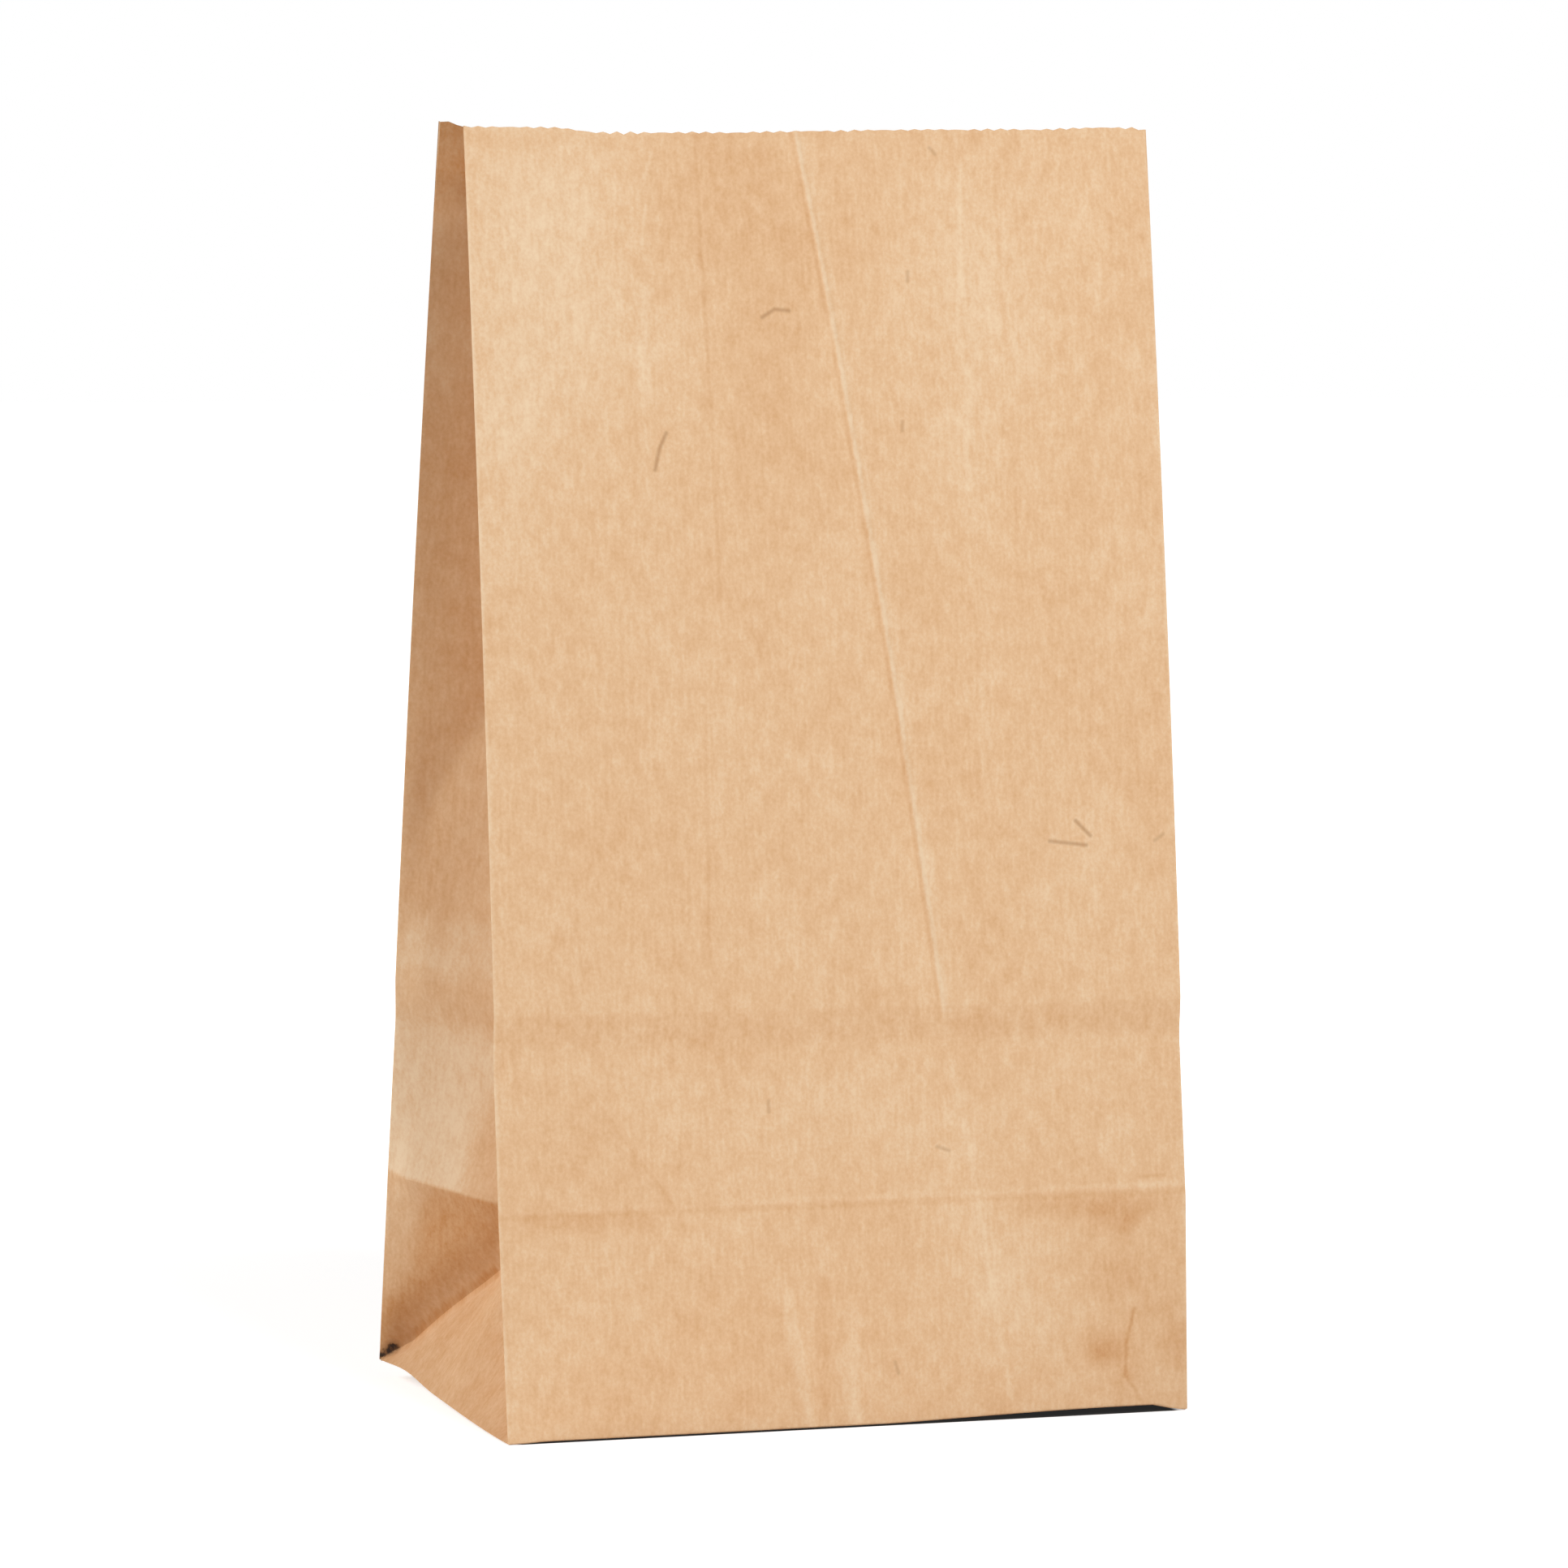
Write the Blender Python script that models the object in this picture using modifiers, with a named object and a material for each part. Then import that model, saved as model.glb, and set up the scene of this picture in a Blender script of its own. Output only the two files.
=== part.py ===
"""Paper grocery bag, folded and pasted from one sheet of brown kraft paper.

A flat-bottomed bag with gusseted sides and a saw-toothed rim, standing open. The sheet is drawn
as an upright open box, marked with the crease lines, and then folded by moving its points.
X runs across the front panel, -Y is the front and +Z is up. The origin is the middle of the base.
"""

import math

import bmesh
import bpy
from mathutils import Vector

# The bag as it is sold, lengths in metres
WIDTH = 0.1524  # front and back panels, from fold to fold
DEPTH = 0.0914  # gusset laid flat, which is also the depth of the base
HEIGHT = 0.275  # panels, from the base fold to the tips of the teeth
PAPER = 0.00012
MOUTH_GAP = 0.0212  # between front and back at the rim, as the bag stands
FRONT_SKEW = 0.0025  # the front panel stands this far in at its left fold, and out at its right

# Teeth that the cutting knife leaves along the rim
TOOTH_PITCH = 0.00325
TOOTH_DEPTH = 0.0008

# The base: its flaps meet and lap along the middle
FLAP_LAP = 0.025
SEAM_LAP = 0.015  # pasted seam down the middle of the back panel

# The crease that the base leaves across the panels while the bag is stored flat
RIDGE_SHORTFALL = 0.003  # the ridge lies this far below the depth of the base
RIDGE_FACE = 0.008  # height of the short face under the ridge

# How each stretch of a panel turns from the mean lean, going up
LOWER_TURN = math.radians(-1.1)
BAND_TURN = math.radians(0.4)
RIDGE_TURN = math.radians(-10.3)
UPPER_TURN = math.radians(-0.7)
RIM_TURN = math.radians(1.9)
UPPER_ROWS = 15

# Slanting crease on the front panel, from the rim to near the base
CREASE_TOP_X = -0.002
CREASE_BASE_X = 0.038
CREASE_HALF_WIDTH = 0.004
CREASE_RELIEF = 0.0005

KRAFT_COLOUR = (0.78, 0.51, 0.30, 1.0)
KRAFT_ROUGHNESS = 0.85

HALF_WIDTH = WIDTH / 2
HALF_DEPTH = DEPTH / 2
LOWER_CREASE = HALF_DEPTH
RIDGE = DEPTH - RIDGE_SHORTFALL
RIDGE_FOOT = RIDGE - RIDGE_FACE
FLAP_REACH = HALF_DEPTH + FLAP_LAP / 2
BASE_LEVEL = 2 * PAPER  # the sheet lies on two flaps
NEAR = 1e-6


def panel_stretches():
    """The stretches of a panel, going up: (length, turn from the mean lean)."""
    stretches = [
        (LOWER_CREASE, LOWER_TURN),
        (RIDGE_FOOT - LOWER_CREASE, BAND_TURN),
        (RIDGE_FACE, RIDGE_TURN),
    ]
    row = (HEIGHT - RIDGE) / UPPER_ROWS
    for i in range(UPPER_ROWS):
        share = i / (UPPER_ROWS - 1)
        stretches.append((row, UPPER_TURN + share * (RIM_TURN - UPPER_TURN)))
    return stretches


def mean_lean(stretches, inset):
    """The lean that brings the rim in by inset, with the turns of all stretches counted."""
    along = sum(length * math.cos(turn) for length, turn in stretches)
    across = sum(length * math.sin(turn) for length, turn in stretches)
    return math.asin(inset / math.hypot(along, across)) - math.atan2(across, along)


STRETCHES = panel_stretches()
MEAN_LEAN = mean_lean(STRETCHES, (DEPTH - MOUTH_GAP) / 2)


def crease_heights():
    """Heights of the horizontal fold lines between the base and the rim, on the flat sheet."""
    heights = []
    height = 0.0
    for length, _ in STRETCHES[:-1]:
        height += length
        heights.append(height)
    return heights


def inset_and_rise(height):
    """How far in and up a panel has come at this height of the flat sheet."""
    inset = 0.0
    rise = 0.0
    left = height
    for length, turn in STRETCHES:
        step = min(length, left)
        inset += step * math.sin(MEAN_LEAN + turn)
        rise += step * math.cos(MEAN_LEAN + turn)
        left -= step
    return inset, rise


def fold_panel(x, end, height):
    """A point of the front panel (end -1) or the back panel (end 1)."""
    inset, rise = inset_and_rise(height)
    if end < 0:
        inset -= FRONT_SKEW * min(height / LOWER_CREASE, 1.0) * x / HALF_WIDTH
    return Vector((x, end * (HALF_DEPTH - inset), rise))


def gusset_valley(side, height):
    """A point of the gusset's middle crease, as far from both of its folds as on the flat sheet."""
    front = fold_panel(side * HALF_WIDTH, -1, height)
    back = fold_panel(side * HALF_WIDTH, 1, height)
    across = (back.y - front.y) / 2
    down = across * (HALF_DEPTH - across) / front.z
    depth_in = math.sqrt(HALF_DEPTH**2 - across**2 - down**2)
    return Vector((side * (HALF_WIDTH - depth_in), (front.y + back.y) / 2, front.z - down))


def fold_gusset(x, y, height):
    """A point of a gusset. Below the lower crease it holds three flat triangles."""
    side = math.copysign(1.0, x)
    end = math.copysign(1.0, y)
    from_fold = 1 - abs(y) / HALF_DEPTH
    up = height / LOWER_CREASE
    if up >= 1:
        fold = fold_panel(side * HALF_WIDTH, end, height)
        return fold.lerp(gusset_valley(side, height), from_fold)
    peak = gusset_valley(side, LOWER_CREASE)
    corner = Vector((side * HALF_WIDTH, end * HALF_DEPTH, 0.0))
    if up < from_fold:
        foot = Vector((side * HALF_WIDTH, 0.0, 0.0))
        return corner + from_fold * (foot - corner) + up * (peak - foot)
    fold = fold_panel(side * HALF_WIDTH, end, LOWER_CREASE)
    return corner + from_fold * (peak - corner) + (up - from_fold) * (fold - corner)


def fold_point(point):
    """Where a point of the upright open box lies once the bag is folded."""
    x, y, height = point
    if height < NEAR:
        return Vector((x, y, 0.0))
    if abs(y) > HALF_DEPTH - NEAR:
        return fold_panel(x, math.copysign(1.0, y), height)
    return fold_gusset(x, y, height)


def cut(mesh, faces, point, normal):
    """Draws one straight crease line across the given faces."""
    around = {part for face in faces for part in (face, *face.edges, *face.verts)}
    bmesh.ops.bisect_plane(mesh, geom=list(around), dist=NEAR, plane_co=point, plane_no=normal)


def faces_on(mesh, axis, side):
    """Upright faces whose outward normal points to this side of the axis."""
    return [face for face in mesh.faces if face.normal[axis] * side > 0.5]


def mark_horizontal_creases(mesh):
    for height in crease_heights():
        cut(mesh, mesh.faces[:], (0, 0, height), (0, 0, 1))


def mark_gussets(mesh):
    """The middle crease of each gusset, and its two slanting creases below the lower one."""
    for side in (-1, 1):
        cut(mesh, faces_on(mesh, 0, side), (0, 0, 0), (0, 1, 0))
        for end in (-1, 1):
            corner = (side * HALF_WIDTH, end * HALF_DEPTH, 0)
            low = [face for face in faces_on(mesh, 0, side)
                   if face.calc_center_median().z < LOWER_CREASE
                   and face.calc_center_median().y * end > 0]
            cut(mesh, low, corner, (0, end, 1))


def mark_base(mesh):
    """The edges of the two flaps, and the slanting ends where the sides are tucked under them."""
    for end in (-1, 1):
        cut(mesh, faces_on(mesh, 2, -1), (0, end * FLAP_LAP / 2, 0), (0, 1, 0))
        for side in (-1, 1):
            corner = (side * HALF_WIDTH, end * HALF_DEPTH, 0)
            cut(mesh, faces_on(mesh, 2, -1), corner, (side, -end, 0))


def mark_seam(mesh):
    for side in (-1, 1):
        cut(mesh, faces_on(mesh, 1, 1), (side * SEAM_LAP / 2, 0, 0), (1, 0, 0))


def crease_x(height):
    """Where the front panel's slanting crease is at this height."""
    return CREASE_BASE_X + (CREASE_TOP_X - CREASE_BASE_X) * height / HEIGHT


def mark_slanting_crease(mesh):
    along = Vector((CREASE_TOP_X - CREASE_BASE_X, 0, HEIGHT))
    across = along.cross(Vector((0, 1, 0)))
    for shift in (-CREASE_HALF_WIDTH, 0, CREASE_HALF_WIDTH):
        cut(mesh, faces_on(mesh, 1, -1), (CREASE_BASE_X + shift, 0, 0), across)


def rim_panel(edge):
    """The axis that a rim edge runs along, and that panel's width."""
    a, b = (vert.co for vert in edge.verts)
    if abs(a.x - b.x) > abs(a.y - b.y):
        return 0, WIDTH
    return 1, DEPTH


def tooth_pitch(panel_width):
    """The pitch at which whole teeth fill a panel, so that each fold falls on a tip."""
    return panel_width / max(2, 2 * round(panel_width / TOOTH_PITCH / 2))


def mark_teeth(mesh):
    """Splits the rim at each tip and each root."""
    rim = [edge for edge in mesh.edges if all(vert.co.z > HEIGHT - NEAR for vert in edge.verts)]
    for edge in rim:
        axis, width = rim_panel(edge)
        half_pitch = tooth_pitch(width) / 2
        low, high = sorted(edge.verts, key=lambda vert: vert.co[axis])
        first = math.floor((low.co[axis] + width / 2) / half_pitch + NEAR) + 1
        last = math.ceil((high.co[axis] + width / 2) / half_pitch - NEAR) - 1
        for i in range(first, last + 1):
            place = i * half_pitch - width / 2
            share = (place - low.co[axis]) / (high.co[axis] - low.co[axis])
            edge, low = bmesh.utils.edge_split(edge, low, share)
            if high not in edge.verts:
                edge = mesh.edges.get((low, high))


def cut_teeth(mesh):
    """Lowers the rim between the tips."""
    for vert in mesh.verts:
        if vert.co.z < HEIGHT - NEAR:
            continue
        on_panel = abs(vert.co.y) > HALF_DEPTH - NEAR
        place = vert.co.x + HALF_WIDTH if on_panel else vert.co.y + HALF_DEPTH
        pitch = tooth_pitch(WIDTH if on_panel else DEPTH)
        share = (place / pitch) % 1.0
        vert.co.z -= TOOTH_DEPTH * (1 - abs(1 - 2 * share))


def marked_sheet():
    """The upright open box with every crease line drawn on it."""
    mesh = bmesh.new()
    bmesh.ops.create_cube(mesh, size=1.0)
    bmesh.ops.scale(mesh, vec=(WIDTH, DEPTH, HEIGHT), verts=mesh.verts)
    bmesh.ops.translate(mesh, vec=(0, 0, HEIGHT / 2), verts=mesh.verts)
    bmesh.ops.delete(mesh, geom=faces_on(mesh, 2, 1), context="FACES")
    mark_horizontal_creases(mesh)
    mark_gussets(mesh)
    mark_base(mesh)
    mark_seam(mesh)
    mark_slanting_crease(mesh)
    mark_teeth(mesh)
    return mesh


def fold_sheet(mesh):
    """Folds the marked sheet, and raises the slanting crease a little from the front panel."""
    cut_teeth(mesh)
    for vert in mesh.verts:
        flat = vert.co.copy()
        vert.co = fold_point(flat)
        on_front = flat.y < -HALF_DEPTH + NEAR and flat.z > NEAR
        if on_front and abs(flat.x - crease_x(flat.z)) < NEAR:
            vert.co.y -= CREASE_RELIEF


def give_thickness(bag):
    """Gives the folded sheet the thickness of the paper, inward from its outer face."""
    wall = bag.modifiers.new("paper", "SOLIDIFY")
    wall.thickness = PAPER
    wall.offset = -1
    wall.use_even_offset = True
    wall.use_quality_normals = True
    graph = bpy.context.evaluated_depsgraph_get()
    solid = bpy.data.meshes.new_from_object(bag.evaluated_get(graph))
    open_sheet = bag.data
    bag.modifiers.remove(wall)
    bag.data = solid
    bpy.data.meshes.remove(open_sheet)


def add_layer(mesh, faces, direction):
    """Lays one more thickness of paper on the given faces."""
    raised = bmesh.ops.extrude_face_region(mesh, geom=faces)["geom"]
    verts = [part for part in raised if isinstance(part, bmesh.types.BMVert)]
    bmesh.ops.translate(mesh, vec=direction * PAPER, verts=verts)
    bmesh.ops.delete(mesh, geom=faces, context="FACES")


def is_under_flap(face, end):
    """Whether a face lies on the flap that is hinged at this end of the base: -1 front, 1 back."""
    centre = face.calc_center_median()
    reach = HALF_DEPTH - end * centre.y
    return reach < FLAP_REACH and abs(centre.x) < HALF_WIDTH - reach


def underside_faces(mesh):
    return [face for face in mesh.faces
            if face.normal.z < -0.99 and face.calc_center_median().z < PAPER / 2]


def outer_seam_faces(mesh):
    """The outer faces of the back panel's middle strip."""
    found = []
    for face in mesh.faces:
        centre = face.calc_center_median()
        if face.normal.y > 0.5 and abs(centre.x) < SEAM_LAP / 2 and centre.y > 0:
            found.append(face)
    return found


def lay_flaps_and_seam(bag):
    """Adds the second layers: the back panel's seam, the two flaps, and the back flap's lap."""
    mesh = bmesh.new()
    mesh.from_mesh(bag.data)
    down = Vector((0, 0, -1))
    out = Vector((0, math.cos(MEAN_LEAN), math.sin(MEAN_LEAN)))
    add_layer(mesh, outer_seam_faces(mesh), out)
    flaps = [face for face in underside_faces(mesh)
             if is_under_flap(face, -1) or is_under_flap(face, 1)]
    add_layer(mesh, flaps, down)
    back_flap = [face for face in underside_faces(mesh) if is_under_flap(face, 1)]
    add_layer(mesh, back_flap, down)
    bmesh.ops.translate(mesh, vec=(0, 0, BASE_LEVEL), verts=mesh.verts)
    mesh.to_mesh(bag.data)
    mesh.free()


def kraft_paper():
    material = bpy.data.materials.new("kraft_paper")
    material.use_nodes = True
    shader = material.node_tree.nodes["Principled BSDF"]
    shader.inputs["Base Color"].default_value = KRAFT_COLOUR
    shader.inputs["Roughness"].default_value = KRAFT_ROUGHNESS
    shader.inputs["Metallic"].default_value = 0.0
    return material


def make_bag(collection):
    sheet = marked_sheet()
    fold_sheet(sheet)
    bmesh.ops.recalc_face_normals(sheet, faces=sheet.faces)
    data = bpy.data.meshes.new("paper_bag")
    sheet.to_mesh(data)
    sheet.free()
    bag = bpy.data.objects.new("paper_bag", data)
    collection.objects.link(bag)
    give_thickness(bag)
    lay_flaps_and_seam(bag)
    bag.data.materials.append(kraft_paper())
    return bag


def main():
    for old in list(bpy.data.objects):
        bpy.data.objects.remove(old)
    collection = bpy.data.collections.new("paper_grocery_bag")
    bpy.context.scene.collection.children.link(collection)
    make_bag(collection)


main()
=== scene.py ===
"""Paper grocery bag: folds one sheet of kraft paper into the standing bag, gives it the look of
worn brown kraft, and sets a plain studio round it. Lengths are in metres, +Z is up and -Y is the front.
"""

import math

import bmesh
import bpy
from mathutils import Matrix, Vector, noise


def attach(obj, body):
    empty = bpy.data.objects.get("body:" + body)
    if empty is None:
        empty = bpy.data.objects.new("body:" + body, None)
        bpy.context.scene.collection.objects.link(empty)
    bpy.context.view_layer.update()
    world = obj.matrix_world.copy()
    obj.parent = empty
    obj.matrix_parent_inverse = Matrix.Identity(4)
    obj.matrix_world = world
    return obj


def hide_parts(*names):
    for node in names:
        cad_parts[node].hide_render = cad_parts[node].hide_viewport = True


bl_info = {
    "name": "Paper grocery bag",
    "version": (1, 0, 0),
    "blender": (4, 5, 0),
    "location": "3D View > Sidebar > Paper bag",
    "description": "Folds a kraft paper grocery bag and sets a plain studio round it",
    "category": "Object",
}

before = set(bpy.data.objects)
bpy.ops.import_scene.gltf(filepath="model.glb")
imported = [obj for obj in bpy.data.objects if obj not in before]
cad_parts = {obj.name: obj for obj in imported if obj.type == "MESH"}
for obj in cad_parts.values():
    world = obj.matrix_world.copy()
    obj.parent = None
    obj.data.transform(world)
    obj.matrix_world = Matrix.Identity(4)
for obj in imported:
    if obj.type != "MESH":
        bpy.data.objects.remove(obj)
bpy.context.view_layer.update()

MM = 0.001
NEAR = 1e-6

# The bag, as its solid has it
WIDTH = 0.1524
DEPTH = 0.0914
HEIGHT = 0.275
PAPER = 0.00012
MOUTH_GAP = 0.0212
FRONT_SKEW = 0.0025
FLAP_LAP = 0.025
SEAM_LAP = 0.015
HALF_WIDTH = WIDTH / 2
HALF_DEPTH = DEPTH / 2
LOWER_CREASE = HALF_DEPTH
RIDGE = DEPTH - 0.003
RIDGE_FOOT = RIDGE - 0.008
FLAP_REACH = HALF_DEPTH + FLAP_LAP / 2
BASE_LEVEL = 2 * PAPER

# Places on the sheet, measured round the bag from the middle of the front
FRONT_FOLD = HALF_WIDTH
VALLEY = HALF_WIDTH + HALF_DEPTH
BACK_FOLD = HALF_WIDTH + DEPTH
BACK_MIDDLE = WIDTH + DEPTH

# How each stretch of a panel turns from the mean lean, and over how much height the turn is made
LOWER_TURN = math.radians(-1.1)
BAND_TURN = math.radians(0.4)
RIDGE_TURN = math.radians(-10.3)
UPPER_TURN = math.radians(-0.7)
RIM_TURN = math.radians(1.9)
LOWER_CREASE_ROUNDING = 0.0008
FOOT_ROUNDING = 0.0030
RIDGE_ROUNDING = 0.0012
PROFILE_STEP = 0.00025

# Drift of single corners from the even fold, at the rim
FRONT_LEFT_DRIFT = -0.0010
BACK_LEFT_DRIFT = 0.0028

# The mesh of the sheet: columns beside each fold, and even columns between them
FOLD_ROUNDING = 0.0004
FOLD_COLUMNS = (0.00015, 0.0004)
FRONT_COLUMNS = 120
BACK_COLUMNS = 66
LEFT_GUSSET_COLUMNS = 24
RIGHT_GUSSET_COLUMNS = 16
# Every so many columns of the front and of the left gusset run on across the base
BASE_SKIP_ACROSS = 3
BASE_SKIP_DEEP = 2
# Heights of the first rows, then stretches of rows (from, to, how many), all in mm
FIRST_ROWS = (0.2, 0.5)
ROW_STRETCHES = (
    (0.5, 44.4, 22), (44.4, 47.2, 7), (47.2, 78.6, 17), (78.6, 83.0, 5), (83.0, 86.8, 3),
    (86.8, 89.6, 7), (89.6, 273.2, 100),
)
# The seam's edge is a step this wide, and its far side a ramp. The slanting crease is cut along and
# beside its line, which bends at one of its points. The base's faces all lie below its ceiling
SEAM_EDGE = 0.00006
SEAM_RAMP = 0.002
SLANT_CUTS = (-0.0015, -0.0005, 0.0, 0.0005, 0.0012)
SLANT_BEND = 3
BASE_CEILING = 0.005
SMOOTH_ANGLE = math.radians(28)

# How far the cut rim of a panel lies below its even height: (across, drop), both in mm
FRONT_RIM_LINE = (
    (-76.2, 1.2), (-70.0, 1.2), (-55.0, 1.35), (-48.0, 2.1), (-17.0, 2.0), (0.0, 1.5), (17.0, 1.1),
    (50.0, 0.5), (68.0, 0.0), (74.0, 0.1), (76.2, 0.7),
)
BACK_RIM_LINE = (
    (-76.2, 0.25), (-75.0, 0.5), (-72.0, 2.6), (-48.0, 3.5), (0.0, 2.9), (50.0, 1.9), (76.2, 2.0),
)
# The same for the gussets, by the distance from the back fold
LEFT_GUSSET_RIM_LINE = ((0.0, 0.25), (3.5, 0.35), (6.0, 1.4), (9.0, 2.9), (80.0, 2.9), (91.4, 1.2))
RIGHT_GUSSET_RIM_LINE = ((0.0, 2.0), (9.0, 2.6), (80.0, 2.6), (91.4, 0.7))
RIM_BAND = 0.030
# Uneven teeth and a slow drift of the cut: (size in mm, seed) of each, and the depth of the drift
TOOTH_PATCHES = (9.0, 4.4)
RIM_DRIFT = (21.0, 9.3)
RIM_DRIFT_DEPTH = 0.00045

# A turn is where something sets in or ends: (middle, width). These lift the base, in metres: the
# front edge's lift and thin gap by x, y and height, then the back left part's bow and lift
FRONT_GAP = 0.0003
LIFT_START = (0.024, 0.076)
GAP_START = (-0.071, 0.008)
FRONT_CORNER = (0.0715, 0.007)
FRONT_REACH = (0.012, 0.024)
FRONT_TOP = (0.010, 0.020)
BASE_BOW = 0.0009
BOW_MIDDLE = 0.026
BOW_REACH = (0.010, 0.020)
BACK_LIFT_END = (-0.050, 0.052)
BACK_LIFT_TOP = (0.023, 0.044)

# Soft waves of the panels: (share, seed, size), with the turns of their edge, their foot and the bow
WAVES = ((0.7, 3.1, 34.0), (0.45, 8.7, 15.0), (0.15, 5.2, 6.0))
WAVE_STRETCH = 2.2
WAVE_EDGE = (7.0, 14.0)
WAVE_FOOT = (8.0, 16.0)
BOW_FOOT = (40.0, 80.0)

# Forms of a gusset in mm: heights, turns and reaches (below and above a line)
GUSSET_EDGE = (4.0, 8.0)
RIGHT_GUSSET_SHARE = 0.6
POCKET_DEPTH = 3.4
POCKET_EDGE = (3.5, 7.0)
POCKET_END = (38.0, 15.0)
POCKET_REACH = (1.0, 11.0)
BACK_BULGE = 2.3
FRONT_BULGE = 0.5
BULGE_UP = 46.0
BULGE_REACH = (11.0, 20.0)
BULGE_END = (36.0, 19.0)
PUFF = 1.1
PUFF_START = (84.0, 9.0)
PUFF_END = (104.0, 32.0)
# The pleat's line rises from the back fold by this much for each mm
PLEAT_FOOT = 121.0
PLEAT_SLOPE = 1.56
PLEAT_DEPTH = 1.5
PLEAT_REACH = (15.0, 15.0)
PLEAT_END = (32.0, 14.0)

# A pressed crease fades at its ends, over a width that lies a little inside them, both in mm. One that
# starts above the rim height runs out over the rim, and one that ends below the base height runs
# into the base and fades more slowly at its head
CREASE_RIM = 270.0
CREASE_BASE = 1.0
CREASE_END = (2.0, 8.0)
CREASE_HEAD = (4.0, 12.0)
# Creases pressed into the sheet: name, points (across, up) from top to bottom, height (below zero is
# a dent), and how far it reaches to its left and to its right, all in mm
SHEET_CREASES = (
    ("slanting crease", ((-3.8, 276.0), (1.3, 244.2), (6.9, 204.5), (11.8, 170.1), (16.0, 135.7),
                         (19.5, 106.5), (22.6, 84.0)), -0.34, 7.0, 1.6),
    ("slanting crease, lower end", ((23.1, 77.2), (28.0, 51.3), (30.1, 25.5), (34.8, 3.0)), -0.12, 5.0, 1.6),
    ("left upright crease", ((-35.8, 276.0), (-37.8, 262.0), (-37.6, 250.0), (-39.2, 238.0),
                             (-38.9, 221.0)), -0.14, 5.0, 1.6),
    ("middle upright crease", ((-25.5, 276.0), (-25.4, 240.7), (-24.6, 215.0), (-24.6, 189.4),
                               (-24.0, 168.0)), 0.12, 1.4, 7.0),
    ("middle upright crease, lower end", ((-27.6, 156.0), (-29.6, 112.9), (-28.3, 96.0)), -0.08, 2.5, 1.6),
    ("right upright crease", ((33.2, 270.0), (31.9, 237.3), (33.1, 223.4), (31.9, 196.0)), -0.12, 4.0, 1.6),
    ("right upright crease, lower end", ((33.3, 164.9), (32.5, 140.5), (33.1, 128.0)), -0.07, 3.0, 1.5),
    ("corner crease", ((-55.6, 73.1), (-49.7, 62.6), (-42.9, 53.9), (-37.8, 47.0)), 0.07, 1.5, 2.5),
    ("base pucker", ((-15.1, 31.5), (-10.3, 10.2), (-8.8, 0.0)), 0.34, 4.5, 4.0),
    ("base pucker, right", ((0.7, 18.5), (0.3, 0.0)), 0.26, 4.0, 3.5),
)

# Tones of the paper by place. A tone above zero is deeper than the paper, one below it is paler.
# Soft blots: name, centre (across, up) in mm, radii in mm, tone. The paler blots at the upper left, along the
# left edge and at the upper right of the front are painted light.
BLOTS = (
    ("painted light, upper left", (-60.0, 240.0), (34.0, 72.0), -0.52),
    ("painted light, left edge", (-70.0, 205.0), (14.0, 60.0), -0.16),
    ("painted light, upper right", (42.0, 235.0), (44.0, 62.0), -0.26),
    ("deeper rim", (-12.0, 262.0), (24.0, 46.0), 0.45),
    ("deeper middle", (-12.0, 205.0), (16.0, 60.0), 0.18),
    ("deeper left", (-54.0, 128.0), (26.0, 34.0), 0.14),
    ("deeper right of the middle", (20.0, 140.0), (22.0, 26.0), 0.12),
    ("pale lower middle", (0.0, 64.0), (70.0, 16.0), -0.18),
    ("pale lower right", (34.0, 28.0), (26.0, 34.0), -0.32),
    ("shade under the crease, right", (52.0, 44.2), (30.0, 3.4), 0.50),
    ("shade under the crease, left", (-58.0, 44.6), (26.0, 3.0), 0.42),
    ("large stain", (60.4, 42.4), (11.0, 8.5), 0.50),
    ("large stain, heart", (62.4, 41.0), (5.0, 4.4), 0.55),
    ("stain between", (60.0, 31.0), (9.0, 8.0), 0.34),
    ("round stain", (57.2, 13.4), (8.0, 7.0), 1.00),
    ("edge stain", (75.0, 13.4), (8.0, 10.0), 0.55),
    ("crack stain", (63.2, 8.2), (6.5, 8.0), 0.42),
    ("brownish corner", (66.0, 30.0), (20.0, 34.0), 0.22),
)

# The slanting crease: across at a height is the three numbers times 1, the height and its square, in mm. Its
# painted highlight and painted shade are places beside it, half widths and tones, in a window of heights: a
# pale line on it and a pale band to its right are painted highlight, a deeper line to its left is painted
# shade
SLANT = (31.7, -0.0964, -0.000114)
SLANT_LIGHT_AND_SHADE = ((0.0, 0.85, -0.60), (1.3, 2.4, -0.26), (-1.05, 0.85, 0.42))
SLANT_WINDOW = (85.0, 276.0, 1.5, 1.0)
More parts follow.
